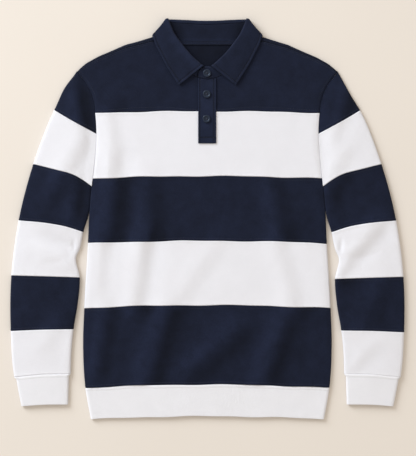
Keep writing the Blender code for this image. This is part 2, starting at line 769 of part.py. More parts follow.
def main():
    clear_scene()
    shirt = collection("polo_shirt")
    cutters = collection("cutters")
    cutters.hide_render = True
    navy = material("navy_cloth", NAVY, 0.85)
    white = material("white_cloth", WHITE, 0.85)
    rib = material("white_rib", WHITE, 0.9)
    collar = material("navy_collar", NAVY, 0.8)
    plastic = material("button_plastic", BUTTON_NAVY, 0.35)

    front_yoke("front_yoke_left", -1, -SLIT_LEFT, navy, shirt)
    front_yoke("front_yoke_right", 1, SLIT_RIGHT, navy, shirt)
    back_yoke("back_yoke", navy, shirt)
    blocks = [white, navy, white, navy]
    for number, slot in enumerate(blocks):
        upper, lower = BORDERS[number], BORDERS[number + 1]
        front = front_band(f"front_band_{number + 2}", upper, lower, slot, shirt)
        back_band(f"back_band_{number + 2}", upper, lower, slot, shirt)
        if number == 0:
            notch = box_cutter("notch", (SLIT_LEFT, SLIT_END, 3.4), (SLIT_RIGHT, 215, 12), cutters)
            boolean(front, notch)
    hem_rib("hem_rib", rib, shirt)
    slots = [navy, white, navy, white, navy, white, rib]
    sleeve("left", -1, LEFT_SLEEVE_FOLDS, slots, shirt)
    sleeve("right", 1, RIGHT_SLEEVE_FOLDS, slots, shirt)
    collar_fall("collar_fall", collar, shirt)
    collar_stand("collar_stand", collar, shirt)
    neck_tape("neck_tape", collar, shirt)
    placket(
        "placket_under", SLIT_LEFT + GAP, SLIT_RIGHT - GAP, SLIT_END + GAP, 0, WALL, 7, navy, shirt
    )
    placket(
        "placket_upper", PLACKET_LEFT, PLACKET_RIGHT, PLACKET_END, WALL + GAP, STRIP, 8, navy, shirt
    )
    for number, place in enumerate(BUTTONS, 1):
        button(number, place, plastic, shirt, cutters)


main()
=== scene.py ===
"""Cloth, sewing and buttons of a long-sleeve polo shirt laid flat on its back.

Sizes are in mm and turn into metres where a mesh is made. +X is to the viewer's right, +Y towards
the collar, +Z up from the surface it lies on. Outlines are held for the right half, with x
measured from the centre line.
"""

from collections import namedtuple

import bpy
import numpy as np
from bpy.props import FloatProperty, FloatVectorProperty, IntProperty, PointerProperty
from mathutils import Matrix, Vector


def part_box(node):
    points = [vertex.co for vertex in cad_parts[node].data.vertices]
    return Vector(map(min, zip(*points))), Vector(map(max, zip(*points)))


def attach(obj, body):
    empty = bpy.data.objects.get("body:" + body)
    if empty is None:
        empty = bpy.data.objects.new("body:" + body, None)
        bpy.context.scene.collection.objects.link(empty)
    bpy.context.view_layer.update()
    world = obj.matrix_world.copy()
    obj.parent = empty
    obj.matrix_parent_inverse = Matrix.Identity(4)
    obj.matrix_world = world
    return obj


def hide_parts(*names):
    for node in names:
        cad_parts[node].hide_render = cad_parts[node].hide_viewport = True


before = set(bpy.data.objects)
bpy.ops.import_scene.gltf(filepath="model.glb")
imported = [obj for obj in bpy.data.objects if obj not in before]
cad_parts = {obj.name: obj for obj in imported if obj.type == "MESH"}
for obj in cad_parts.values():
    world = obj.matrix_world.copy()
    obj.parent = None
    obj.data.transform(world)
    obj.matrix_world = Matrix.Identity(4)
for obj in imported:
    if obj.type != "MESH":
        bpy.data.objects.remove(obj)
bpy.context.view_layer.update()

bl_info = {
    "name": "Laid polo shirt",
    "version": (1, 0, 0),
    "blender": (4, 5, 0),
    "location": "View3D > Sidebar > Shirt",
    "description": "Makes the cloth, sewing, buttons and stage of a polo shirt laid flat",
    "category": "Object",
}

MM = 0.001
CLOTH = 1.3  # wall of the body and sleeve cloth
SEAM = 0.15  # each side of a seam line
GAP = 0.3

# Heights of the outer faces above the surface
FRONT_Z = 7.4
FRONT_EDGE_Z = 5.1
BACK_EDGE_Z = 0.6
EDGE_ROLL = 12.0
LEAST_FRONT_Z = 3.5
COLLAR_LIFT = 2.5  # of the back over the fall of the collar, from LIFT_START up
LIFT_START = 276.0
LIFT_HALF = 106.0
SIDE_ROLL = 4.0
SIDE_MIDDLE = 3.05
ARMHOLE_ROLL = 1.2
ARMHOLE_MIDDLE = 4.3
UNDERARM_Y = 62.0

Row = namedtuple("Row", "y half")
BODY_SIDE = [
    Row(-381.0, 221.9),
    Row(-320.9, 232.2),
    Row(-238.5, 236.6),
    Row(-167.0, 234.3),
    Row(-43.5, 227.2),
    Row(7.8, 225.0),
    Row(51.5, 221.4),
    Row(74.3, 218.5),
    Row(120.0, 213.6),
    Row(162.5, 211.3),
    Row(200.3, 213.4),
    Row(227.1, 217.2),
    Row(241.3, 221.9),
    Row(257.1, 229.9),
    Row(269.6, 239.2),
    Row(280.3, 248.0),
]

Border = namedtuple("Border", "centre side")
YOKE_HEM = Border(205.2, 202.0)
RIB_SEAM = Border(-314.3, -320.9)
RIB_HEM = Border(-374.9, -381.0)
BORDERS = [YOKE_HEM, Border(81.4, 77.0), Border(-41.2, -46.2), Border(-163.8, -169.5), RIB_SEAM]

Point = namedtuple("Point", "x y")
SHOULDER = [
    Point(101.8, 347.2),
    Point(152.6, 331.8),
    Point(181.1, 319.0),
    Point(207.9, 307.6),
    Point(229.9, 295.4),
    Point(248.0, 280.3),
]
SHOULDER_ROLL = 5.0
SHOULDER_COS = 0.88  # cosine of the shoulder's slope
SHOULDER_DROP = 3.4  # how far the front's edge turns down at the shoulder seam
SHOULDER_AREA = Point(95.0, 250.0)  # the shoulder roll lies outside and above this
TIP_STRETCH = 3.0  # how much further out the back's turn lies at the shoulder tip
TIP_START = 205.0
SEAM_FORWARD_NECK = 8.5
SEAM_FORWARD_ARM = 3.0
SEAM_END = 246.45  # where the forward seam and the back's turn meet the armhole
WRAP_END = 247.2
FRONT_NECK = [
    Point(0.0, 265.2),
    Point(17.1, 268.5),
    Point(25.5, 273.0),
    Point(44.0, 286.0),
    Point(65.0, 305.5),
    Point(80.0, 321.5),
    Point(93.0, 333.3),
    Point(101.8, 337.9),
]
BACK_NECK = [Point(0.0, 337.4), Point(35.0, 337.6), Point(72.0, 338.4), Point(101.8, 341.4)]

# Placket
SLIT_LEFT = -12.0
SLIT_RIGHT = 14.3
SLIT_END = 150.0
PLACKET_LEFT = -17.5
PLACKET_RIGHT = 16.7
PLACKET_END = 143.8
STRIP = 1.9
CALM_HALF = 20.0  # the cloth has no creases this near the placket's middle
BOX_STITCH_Y = 155.0

# Sleeves, from the armhole to the cuff hem
SLEEVE_OUTER = [
    Point(247.4, 281.6),
    Point(291.1, 207.3),
    Point(331.2, 104.7),
    Point(359.1, -2.3),
    Point(373.0, -107.0),
    Point(374.2, -212.6),
    Point(367.4, -300.4),
    Point(354.0, -356.1),
]
SLEEVE_INNER = [
    [Point(245.9, 277.2), Point(229.9, 257.1), Point(217.2, 227.1), Point(213.4, 200.3)],
    [Point(211.3, 162.5), Point(213.6, 120.0)],
    [Point(219.9, 62.5), Point(226.1, 7.8)],
    [Point(236.0, -24.5), Point(243.8, -58.7), Point(249.1, -70.1)],
    [Point(242.8, -111.0), Point(246.5, -160.0)],
    [Point(254.6, -209.2), Point(258.6, -250.0)],
    [Point(260.3, -294.3)],
    [Point(264.9, -352.6)],
]
SLEEVE_BORDERS = [
    [],
    [Point(262.0, 190.0)],
    [Point(295.3, 95.6), Point(249.9, 82.1), Point(237.5, 74.9)],
    [Point(305.5, -7.4), Point(270.6, -13.7)],
    [Point(307.6, -108.7)],
    [Point(313.7, -210.0)],
    [Point(313.7, -295.1)],
    [Point(313.7, -353.0)],
]
SLEEVE_STARTS = [0, 4, 6, 8, 11, 13, 15, 16]
# How much further out each sleeve's edge lies than the table says, most at y, and how much
# lower the right sleeve's middle lies
Change = namedtuple("Change", "most y spread")
FULLER = {-1: Change(4.0, 248, 24), 1: Change(-2.2, 235, 26)}
RIGHT_DROP = Change(3.6, -155, 90)
OUTWARD = (0.86, 0.51)
SLEEVE_ROLL = 6.0
LEAST_SLEEVE_Z = 3.4
CUFF = 6
CUFF_IN = 3.4

Edge = namedtuple("Edge", "inner crest outer")
SLEEVE_HEIGHTS = [
    Edge(4.9, 5.2, 4.9),
    Edge(5.1, 9.6, 7.4),
    Edge(5.8, 10.2, 8.0),
    Edge(6.8, 9.2, 8.0),
    Edge(7.4, 9.4, 8.0),
    Edge(7.4, 9.0, 8.0),
    Edge(7.2, 8.6, 7.4),
    Edge(6.4, 7.0, 6.4),
]
HEM_HEIGHTS = [Edge(6.2, 7.2, 6.2), Edge(5.8, 6.6, 5.8)]
HEM_ROLL = 5.0

# Folds run from (x0, y0) to (x1, y1): a crest on the viewer's left of that line, a trough on its
# right
Fold = namedtuple("Fold", "x0 y0 x1 y1 width height")
BODY_FOLDS = [
    Fold(-180, 190, -172, 105, 15, 1.3),
    Fold(-172, 105, -186, -30, 18, 1.6),
    Fold(-110, 60, -110, -40, 18, 0.9),
    Fold(-113, -45, -130, -158, 16, 2.2),
    Fold(-196, -55, -201, -125, 14, 1.0),
    Fold(12, -70, -40, -142, 18, 0.9),
    Fold(143, -55, 171, -155, 17, 1.5),
    Fold(124, 62, 144, -20, 17, 0.9),
    Fold(-77, -186, -110, -300, 17, 1.7),
    Fold(50, -222, -20, -284, 18, 1.3),
    Fold(151, -190, 113, -300, 17, 1.6),
    Fold(-190, -178, -207, -284, 14, 1.2),
]
LEFT_SLEEVE_FOLDS = [
    Fold(-243, 232, -232, 165, 14, 1.0),
    Fold(-240, 130, -282, 60, 16, 1.3),
    Fold(-244, 70, -252, 15, 14, 1.1),
    Fold(-302, -48, -250, -78, 14, 1.9),
    Fold(-270, -190, -300, -245, 16, 0.7),
]
RIGHT_SLEEVE_FOLDS = [
    Fold(262, 240, 246, 165, 16, 1.6),
    Fold(262, 115, 238, 62, 16, 1.2),
    Fold(318, -30, 262, -92, 16, 2.2),
    Fold(330, -140, 300, -205, 16, 0.6),
    Fold(310, -255, 280, -285, 14, 0.9),
]

# Creases are soft troughs, or ridges where the depth is below 0. `bow` is how far the middle
# bends to the viewer's left of the straight line
Crease = namedtuple("Crease", "x0 y0 x1 y1 width depth bow")
BODY_CREASES = [
    Crease(-198, 176, -178, 92, 7, 0.5, 4),
    Crease(-150, 60, -158, -34, 9, 0.35, -5),
    Crease(-138, -60, -146, -140, 8, 0.45, 4),
    Crease(-60, 196, -84, 118, 11, 0.25, 6),
    Crease(52, 190, 96, 112, 12, 0.25, -6),
    Crease(0, 134, 6, 96, 12, 0.4, 3),
    Crease(166, 186, 188, 120, 9, 0.4, -5),
    Crease(186, 40, 196, -36, 8, 0.4, 4),
    Crease(20, 52, -14, -28, 14, 0.25, 6),
    Crease(72, -66, 44, -140, 13, 0.3, -5),
    Crease(-28, -190, -52, -262, 10, 0.4, 5),
    Crease(84, -196, 72, -250, 10, 0.35, -3),
    Crease(182, -188, 176, -296, 9, 0.5, 4),
    Crease(-150, -206, -160, -296, 9, 0.4, -4),
    Crease(10, -290, 60, -306, 8, 0.3, 3),
    Crease(-120, 306, -176, 262, 10, 0.35, 6),
    Crease(118, 312, 170, 268, 9, 0.35, -5),
    Crease(-86, 262, -128, 216, 12, 0.25, 5),
    Crease(84, 250, 120, 214, 12, 0.25, -4),
]
BACK_CREASES = [
    Crease(-168, 170, -150, 20, 14, -0.8, 8),
    Crease(-96, 40, -120, -150, 12, -0.9, -9),
    Crease(30, -60, -30, -190, 15, -0.7, 8),
    Crease(150, 120, 176, -60, 13, -0.8, -7),
    Crease(120, -120, 96, -290, 12, -0.9, 9),
    Crease(-170, -180, -150, -300, 12, -0.7, -6),
    Crease(-60, 270, -150, 230, 12, -0.6, 5),
    Crease(70, 260, 160, 226, 12, -0.6, -5),
]
LEFT_SLEEVE_CREASES = [
    Crease(-239, 262, -219, 150, 8, 1.7, -5),
    Crease(-220, 150, -229, 84, 7, 1.0, 3),
    Crease(-226, 128, -262, 84, 7, 0.7, 4),
    Crease(-236, 60, -246, 10, 8, 0.8, -3),
    Crease(-254, -42, -247, -74, 3.0, 2.4, -2),
    Crease(-256, -58, -292, -40, 7, 0.9, -4),
    Crease(-256, -66, -306, -84, 6, 0.8, 4),
    Crease(-290, 150, -312, 90, 12, 0.35, 4),
    Crease(-330, -60, -346, -96, 9, 0.4, 3),
    Crease(-270, -130, -326, -176, 12, 0.45, 5),
    Crease(-300, -236, -330, -280, 9, 0.4, -3),
    Crease(-282, -262, -286, -296, 7, 0.4, 2),
]
RIGHT_SLEEVE_CREASES = [
    Crease(241, 262, 222, 150, 9, 2.1, 5),
    Crease(221, 150, 230, 84, 8, 1.4, -3),
    Crease(230, 132, 268, 80, 7, 0.7, -5),
    Crease(238, 62, 248, 6, 8, 0.8, 3),
    Crease(254, -40, 247, -74, 3.0, 2.8, 2),
    Crease(258, -58, 300, -32, 7, 0.8, 4),
    Crease(258, -72, 318, -66, 6, 0.8, -5),
    Crease(286, 150, 306, 96, 12, 0.35, -4),
    Crease(340, -40, 352, -90, 9, 0.4, -3),
    Crease(276, -126, 330, -190, 12, 0.45, -6),
    Crease(290, -230, 322, -288, 9, 0.5, 4),
    Crease(272, -256, 278, -296, 7, 0.4, -2),
]

# Collar: for each station from the front edge to the centre back, the roll's crest, the fall's
# outer edge, the neck seam, and the turn of the section, 90 on the front and -90 on the back
Station = namedtuple("Station", "roll_x roll_y edge_x edge_y neck_x neck_y turn")
COLLAR = [
    Station(7.2, 291.1, 54.0, 254.1, 17.1, 268.5, 90),
    Station(13.0, 295.7, 57.9, 259.9, 25.5, 273.0, 90),
    Station(30.8, 312.0, 67.5, 274.5, 44.0, 286.0, 90),
    Station(50.2, 335.2, 80.5, 296.0, 65.0, 305.5, 90),
    Station(62.5, 353.0, 91.0, 316.5, 80.0, 321.5, 90),
    Station(70.5, 371.0, 100.2, 335.4, 93.0, 333.3, 90),
    Station(73.2, 378.5, 103.2, 346.9, 97.9, 342.3, 90),
    Station(74.4, 379.9, 103.7, 348.2, 99.4, 344.4, 45),
    Station(75.2, 380.2, 103.8, 348.6, 100.2, 345.4, 0),
    Station(74.4, 380.2, 103.7, 348.2, 99.4, 344.4, -45),
    Station(72.0, 380.1, 103.2, 346.6, 97.9, 341.9, -90),
    Station(61.0, 379.8, 90.0, 336.0, 88.0, 339.8, -90),
    Station(45.0, 379.1, 70.0, 324.0, 72.0, 338.4, -90),
    Station(20.0, 377.9, 35.0, 315.5, 35.0, 337.6, -90),
    Station(0.0, 377.4, 0.0, 313.0, 0.0, 337.4, -90),
]
ROLL_RADIUS = 3.3
ROLL_FRONT_Z = 11.3
ROLL_BACK_Z = 3.3
FALL_WALL = 2.2
STAND_WALL = 2.1
LIP = 4.0
ALONG_SHOULDER = (0.752, 0.659)  # direction across the roll at the side of the neck
LEAF_LIFT = 1.1
NECK_LAYER = 2.1  # body cloth and seam allowance inside the neck seam

# The neckband's button end, over the slit: top and bottom edge, and height of the underside
Tab = namedtuple("Tab", "top_x top_y low_x low_y z")
TAB = [
    Tab(9.8, 288.3, 11.0, 267.3, 7.7),
    Tab(5.5, 290.3, 5.5, 266.2, 7.7),
    Tab(0.0, 290.5, 0.0, 265.2, 7.7),
    Tab(-7.0, 289.2, -7.0, 266.5, 7.7),
    Tab(-12.9, 285.2, -12.9, 267.7, 7.7),
    Tab(-17.3, 279.5, -17.3, 268.6, 7.7),
]

TAPE_HALF = 70.0
TAPE_LOW = 331.3
TAPE_TOP = 339.3
TAPE_Z = 5.0
TAPE_THICK = 0.9

BUTTON_RADIUS = 7.4
BUTTONS = [Point(-0.8, 277.0), Point(-1.3, 237.3), Point(-1.7, 190.4)]

# Sewing, measured from the seam line or the edge
TOPSTITCH = 4.5
ARMHOLE_STITCH = 6.0
LEAF_STITCH = 5.0
PLACKET_STITCH = (3.3, TOPSTITCH)
RIB_STITCH = 5.2
EDGE_STEPS = np.array([0.0, 0.2, 0.5, 0.9, 1.5, 2.3, 3.3, TOPSTITCH, 5.6, 7.0])

# Cuts of the pieces that aren't plain bands, and how much of each rectangle is cloth
Cut = namedtuple("Cut", "width length share")

# Camera, over the middle of the frame that the shirt is seen in
CAMERA_X = 1.14
CAMERA_Y = -16.9
CAMERA_HIGH = 2500.0
FRAME_HIGH = 866.4
SENSOR = 24.0

# Stage, in metres: the lamp hangs at the top left
FLOOR_WIDTH = 12
FLOOR_DROP = 0.0002
LAMP_AT = (-3.75, 3.35, 2.35)
LAMP_WIDTH = 3.1
LAMP_COLOUR = (0.864, 0.93, 1.0)
SKY_COLOUR = (1.0, 0.93, 0.84, 1)

sewn = {"navy": [], "white": []}  # lines of sewing, filled as the pieces are made


class ClothSettings(bpy.types.PropertyGroup):
    """Colours and knit of the cloth."""

    navy: FloatVectorProperty(
        name="Navy",
        description="Colour of the dark blocks",
        subtype="COLOR",
        size=3,
        default=(0.0086, 0.0122, 0.0290),
    )
    collar: FloatVectorProperty(
        name="Collar navy",
        description="Colour of the collar and the placket",
        subtype="COLOR",
        size=3,
        default=(0.0090, 0.0128, 0.0300),
    )
    white: FloatVectorProperty(
        name="White",
        description="Colour of the pale blocks",
        subtype="COLOR",
        size=3,
        default=(0.838, 0.842, 0.898),
    )
    rib: FloatVectorProperty(
        name="Rib white",
        description="Colour of the hem and the cuffs",
        subtype="COLOR",
        size=3,
        default=(0.886, 0.891, 0.942),
    )
    wale: FloatProperty(
        name="Wale width",
        description="Width of one column of the knit",
        unit="LENGTH",
        default=0.0011,
    )
    course: FloatProperty(
        name="Course height",
        description="Height of one row of the knit",
        unit="LENGTH",
        default=0.0009,
    )
    step: FloatProperty(
        name="Mesh step",
        description="Distance between rows of the cloth mesh",
        unit="LENGTH",
        default=0.0026,
    )


class RibSettings(bpy.types.PropertyGroup):
    """Ribs of the hem and the cuffs."""

    pitch: FloatProperty(
        name="Rib pitch",
        description="Distance from rib to rib",
        unit="LENGTH",
        default=0.0024,
    )
    height: FloatProperty(
        name="Rib height",
        description="Depth of the furrow between two ribs",
        unit="LENGTH",
        default=0.00015,
    )


class SewingSettings(bpy.types.PropertyGroup):
    """Stitches of every topstitched seam."""

    pitch: FloatProperty(
        name="Stitch pitch",
        description="Distance from stitch to stitch",
        unit="LENGTH",
        default=0.0033,
    )
    length: FloatProperty(
        name="Stitch length",
        description="Length of thread that shows",
        unit="LENGTH",
        default=0.0027,
    )
    thread: FloatProperty(
        name="Thread width",
        description="Thickness of the sewing thread",
        unit="LENGTH",
        default=0.00042,
    )


class ButtonSettings(bpy.types.PropertyGroup):
    """Buttons of the neckband and the placket."""

    colour: FloatVectorProperty(
        name="Plastic",
        description="Colour of the buttons",
        subtype="COLOR",
        size=3,
        default=(0.010, 0.016, 0.034),
    )
    segments: IntProperty(
        name="Segments",
        description="Points round a button",
        default=64,
    )


class StageSettings(bpy.types.PropertyGroup):
    """Floor and lights."""

    floor: FloatVectorProperty(
        name="Floor",
        description="Colour of the floor",
        subtype="COLOR",
        size=3,
        default=(0.77, 0.713, 0.652),
    )
    lamp: FloatProperty(
        name="Lamp",
        description="Power of the large soft lamp",
        unit="POWER",
        default=324.0,
    )
    sky: FloatProperty(
        name="Sky",
        description="Strength of the light from all round",
        default=0.735,
    )


def smooth_step(value):
    value = np.clip(value, 0, 1)
    return value * value * (3 - 2 * value)


def knot_slopes(chord, length):
    """Slope at every knot of a smooth curve, from the slopes and lengths of its chords."""
    before, after = length[:-1], length[1:]
    inner = (chord[:-1] * after + chord[1:] * before) / (before + after)
    return np.concatenate([chord[:1], inner, chord[-1:]])


def cubic(f, start, end, start_slope, end_slope):
    """The smooth curve between two knots, `f` of the way along."""
    return (
        (1 + 2 * f) * (1 - f) ** 2 * start
        + f * (1 - f) ** 2 * start_slope
        + f**2 * (3 - 2 * f) * end
        - f**2 * (1 - f) * end_slope
    )


def bell(distance, width):
    """1 where the distance is 0, falling away smoothly over about the width."""
    return np.exp(-((distance / width) ** 2))


def spline(points, at):
    """The smooth curve through the points, where `at` 0 is the first point, 1 the second and so on."""
    points = np.asarray(points, float)
    step = np.diff(points, axis=0)
    length = np.linalg.norm(step, axis=1)[:, None]
    slope = knot_slopes(step / length, length)
    at = np.clip(np.asarray(at, float), 0, len(points) - 1)
    k = np.minimum(at.astype(int), len(points) - 2)
    reach = length[k]
    return cubic((at - k)[:, None], points[k], points[k + 1], reach * slope[k], reach * slope[k + 1])


def along(points, share, first=0, last=None):
    """Points of the spline at these shares of its length between two of its knots."""
    points = np.asarray(points, float)
    last = len(points) - 1 if last is None else last
    run = np.r_[0, np.cumsum(np.linalg.norm(np.diff(points, axis=0), axis=1))]
    wanted = run[first] + np.asarray(share, float) * (run[last] - run[first])
    return spline(points, np.interp(wanted, run, np.arange(len(points))))


def side(y):
    """Half width of the body at y, by a smooth curve through BODY_SIDE."""
    ys, halves = np.array(BODY_SIDE).T
    step = np.diff(ys)
    slope = knot_slopes(np.diff(halves) / step, step)
    y = np.asarray(y, float)
    k = np.clip(np.searchsorted(ys, y) - 1, 0, len(ys) - 2)
    f = np.clip((y - ys[k]) / step[k], 0, None)
    rise, next_rise = step[k] * slope[k], step[k] * slope[k + 1]
    over = np.maximum(f - 1, 0) * next_rise
    return cubic(np.minimum(f, 1), halves[k], halves[k + 1], rise, next_rise) + over


def border_y(border, u):
    """Height of a seam at the share u of the half width, bowed and a little uneven."""
    drift = 0.7 * np.sin(8 * u + border.centre) + 0.4 * np.sin(17 * u + 2 * border.centre)
    return border.centre + (border.side - border.centre) * u**2 + drift


def shoulder_y(x):
    """The shoulder fold, which lies a little higher on the viewer's left."""
    higher = 1.6 * smooth_step((-x - 130) / 40) * smooth_step((x + 252) / 14)
    return np.interp(np.abs(x), [p.x for p in SHOULDER], [p.y for p in SHOULDER]) + higher


def seam_forward(x):
    """How far below the shoulder fold the forward shoulder seam lies."""
    ends = [SHOULDER[0].x, SHOULDER[-1].x]
    return np.interp(np.abs(x), ends, [SEAM_FORWARD_NECK, SEAM_FORWARD_ARM])


def fold_height(x, y, folds):
    z = np.zeros(np.broadcast(x, y).shape)
    for fold in folds:
        dx, dy = fold.x1 - fold.x0, fold.y1 - fold.y0
        length = np.hypot(dx, dy)
        run = ((x - fold.x0) * dx + (y - fold.y0) * dy) / length
        across = ((y - fold.y0) * dx - (x - fold.x0) * dy) / length / fold.width
        past = np.maximum(np.maximum(-run, run - length), 0) / (1.4 * fold.width)
        z -= fold.height * across * np.exp((1 - across**2 - past**2) / 2)
    return z


def crease_depth(x, y, creases):
    """Soft bent troughs, shallower towards each end, with a low swell on either side."""
    z = np.zeros(np.broadcast(x, y).shape)
    for crease in creases:
        dx, dy = crease.x1 - crease.x0, crease.y1 - crease.y0
        length = np.hypot(dx, dy)
        run = ((x - crease.x0) * dx + (y - crease.y0) * dy) / length**2
        across = ((y - crease.y0) * dx - (x - crease.x0) * dy) / length
        inside = np.clip(run, 0, 1)
        across = (across - 4 * crease.bow * inside * (1 - inside)) / crease.width
        past = np.maximum(np.maximum(-run, run - 1), 0) * length / (1.2 * crease.width)
        strong = 0.45 + 0.55 * np.sin(np.pi * inside) ** 0.8
        profile = np.exp(-(across**2) / 2) - 0.3 * np.exp(-(across**2) / 8)
        z += crease.depth * strong * profile * np.exp(-(past**2) / 2)
    return z


def uneven(x, y, size, seed):
    """A smooth uneven height from -1 to 1 that changes about every `size` mm."""
    table = np.random.default_rng(seed).uniform(-1, 1, (64, 64))
    x, y = np.asarray(x, float) / size, np.asarray(y, float) / size
    i, j = np.floor(x).astype(int), np.floor(y).astype(int)
    f, g = smooth_step(x - i), smooth_step(y - j)
    i, j, after_i, after_j = i % 64, j % 64, (i + 1) % 64, (j + 1) % 64
    low = table[i, j] * (1 - f) + table[after_i, j] * f
    high = table[i, after_j] * (1 - f) + table[after_i, after_j] * f
    return low * (1 - g) + high * g


def swell(x, y, seed):
    """The slow rise and fall of cloth that has been smoothed out by hand."""
    return (
        0.45 * uneven(x, y, 85, seed)
        + 0.16 * uneven(x, y, 34, seed + 1)
        + 0.05 * uneven(x, y, 13, seed + 2)
    )


def above(z, least):
    """z, bent softly so that it stays over `least`."""
    over = z - least
    return least + (over + np.sqrt(over**2 + 0.5)) / 2


def painted_light_of(x, y, folds, creases):
    """Painted light of folds and creases: 1 on a crest, painted lighter, -1 in a trough, painted
    darker.
    """
    return np.clip((fold_height(x, y, folds) - crease_depth(x, y, creases)) / 1.2, -1.3, 1.0)


def drawn_in(near, run, stitch=TOPSTITCH):
    """How far cloth is pulled in beside a seam: the seam itself, the topstitch, and puckers."""
    near = np.abs(near)
    line = 0.5 * bell(near, 0.8)
    thread = 0.28 * bell(near - stitch, 0.8)
    allowance = -0.35 * (1 - smooth_step((near - stitch + 1) / 4))
    pucker = 0.2 * uneven(run, 0.15 * near, 5.5, 7) * bell(near, 7)
    return line + thread + allowance + pucker


def front_base(x, y):
    """Top of the front with its folds, before the seams are drawn in."""
    edge = np.maximum(side(y) - np.abs(x), 0)
    z = FRONT_Z - (FRONT_Z - FRONT_EDGE_Z) * (1 - np.minimum(edge / EDGE_ROLL, 1)) ** 2
    z = z + fold_height(x, y, BODY_FOLDS) * smooth_step(edge / 30)
    loose = smooth_step((np.abs(x) - CALM_HALF) / 25 + np.maximum(SLIT_END - y, 0) / 30)
    z = z - crease_depth(x, y, BODY_CREASES) * loose * smooth_step(edge / 14)
    z = z + swell(x, y, 21) * loose * smooth_step(edge / 20)
    below = (shoulder_y(x) - y) * SHOULDER_COS
    round_off = 1 - np.clip(below / SHOULDER_ROLL, 0, 1)
    near_shoulder = (np.abs(x) > SHOULDER_AREA.x) & (y > SHOULDER_AREA.y)
    return z - np.where(near_shoulder, SHOULDER_DROP * (1 - np.sqrt(1 - round_off**2)), 0)


def front_face(x, y):
    """Top of the front as it shows, drawn in along every seam."""
    z = front_base(x, y)
    u = x / side(y)
    for border in BORDERS:
        z = z - drawn_in(y - border_y(border, u), x)
    arm = smooth_step((y - UNDERARM_Y) / 15)
    z = z - arm * drawn_in(side(y) - np.abs(x), y, ARMHOLE_STITCH)
    shoulder = (shoulder_y(x) - seam_forward(x) - y) * SHOULDER_COS
    z = z - np.where(np.abs(x) > SHOULDER[0].x - 6, drawn_in(shoulder, x, 3.0), 0)
    return above(z, LEAST_FRONT_Z)


def back_face(x, y):
    """Underside of the back: flat on the floor, curled up at the side, raised over the fall."""
    edge = np.maximum(side(y) - np.abs(x), 0)
    curl = BACK_EDGE_Z * (1 - np.minimum(edge / 6, 1)) ** 2
    across = 1 - smooth_step((np.abs(x) - LIFT_HALF) / 24)
    z = curl + COLLAR_LIFT * across * smooth_step((y - LIFT_START) / 18)
    z = z + np.maximum(-crease_depth(x, y, BACK_CREASES), 0) * smooth_step(edge / 20)
    u = x / side(y)
    for border in BORDERS:
        z = z + np.maximum(drawn_in(y - border_y(border, u), x + 300), 0)
    return z


def patch(top, bottom, left, right, down, across):
    """Coons patch between four edges, each a function of the share of the way along it."""
    shape = down.shape
    s, t = down.reshape(-1), across.reshape(-1)
    zero, one = np.zeros(1), np.ones(1)
    corners = (
        ((1 - s) * (1 - t))[:, None] * top(zero)
        + ((1 - s) * t)[:, None] * top(one)
        + (s * (1 - t))[:, None] * bottom(zero)
        + (s * t)[:, None] * bottom(one)
    )
    flat = (
        (1 - s)[:, None] * top(t)
        + s[:, None] * bottom(t)
        + (1 - t)[:, None] * left(s)
        + t[:, None] * right(s)
        - corners
    )
    return flat[:, 0].reshape(shape), flat[:, 1].reshape(shape)


def linked(name, data):
    """A new object with this data, in the scene."""
    made = bpy.data.objects.new(name, data)
    bpy.context.scene.collection.objects.link(made)
    return made


def raised(x, y, z):
    """The points of a grid, from its x, y and z."""
    return np.stack(np.broadcast_arrays(x, y, z), axis=-1).astype(float)


def stations(length, step, steps=EDGE_STEPS):
    """Distances along a length, close together near both ends."""
    near = steps[steps < 0.4 * length]
    count = max(2, int(round((length - 2 * near[-1]) / step)) + 1)
    inside = np.linspace(near[-1], length - near[-1], count)
    return np.r_[near[:-1], inside, (length - near[:-1])[::-1]]


def rounded(outer, inner, near, radius=0.65):
    """Both faces, brought together where `near`, the distance to an edge, is small."""
    factor = np.sqrt(1 - (1 - np.clip(near / radius, 0, 1)) ** 2)
    factor = np.maximum(factor, 0.3)[..., None]
    middle, half = (outer + inner) / 2, (outer - inner) / 2
    return middle + half * factor, middle - half * factor


def sunk(outer, inner, depth):
    """The outer face, pressed towards the inner one."""
    wall = np.linalg.norm(outer - inner, axis=-1)
    return outer + (inner - outer) * (depth / wall)[..., None]


def length_along(points, axis):
    """Distance run along the rows or columns of a grid, from its first."""
    step = np.linalg.norm(np.diff(points, axis=axis), axis=-1)
    start = np.zeros_like(np.take(step, [0], axis=axis))
    return np.concatenate([start, np.cumsum(step, axis=axis)], axis=axis)


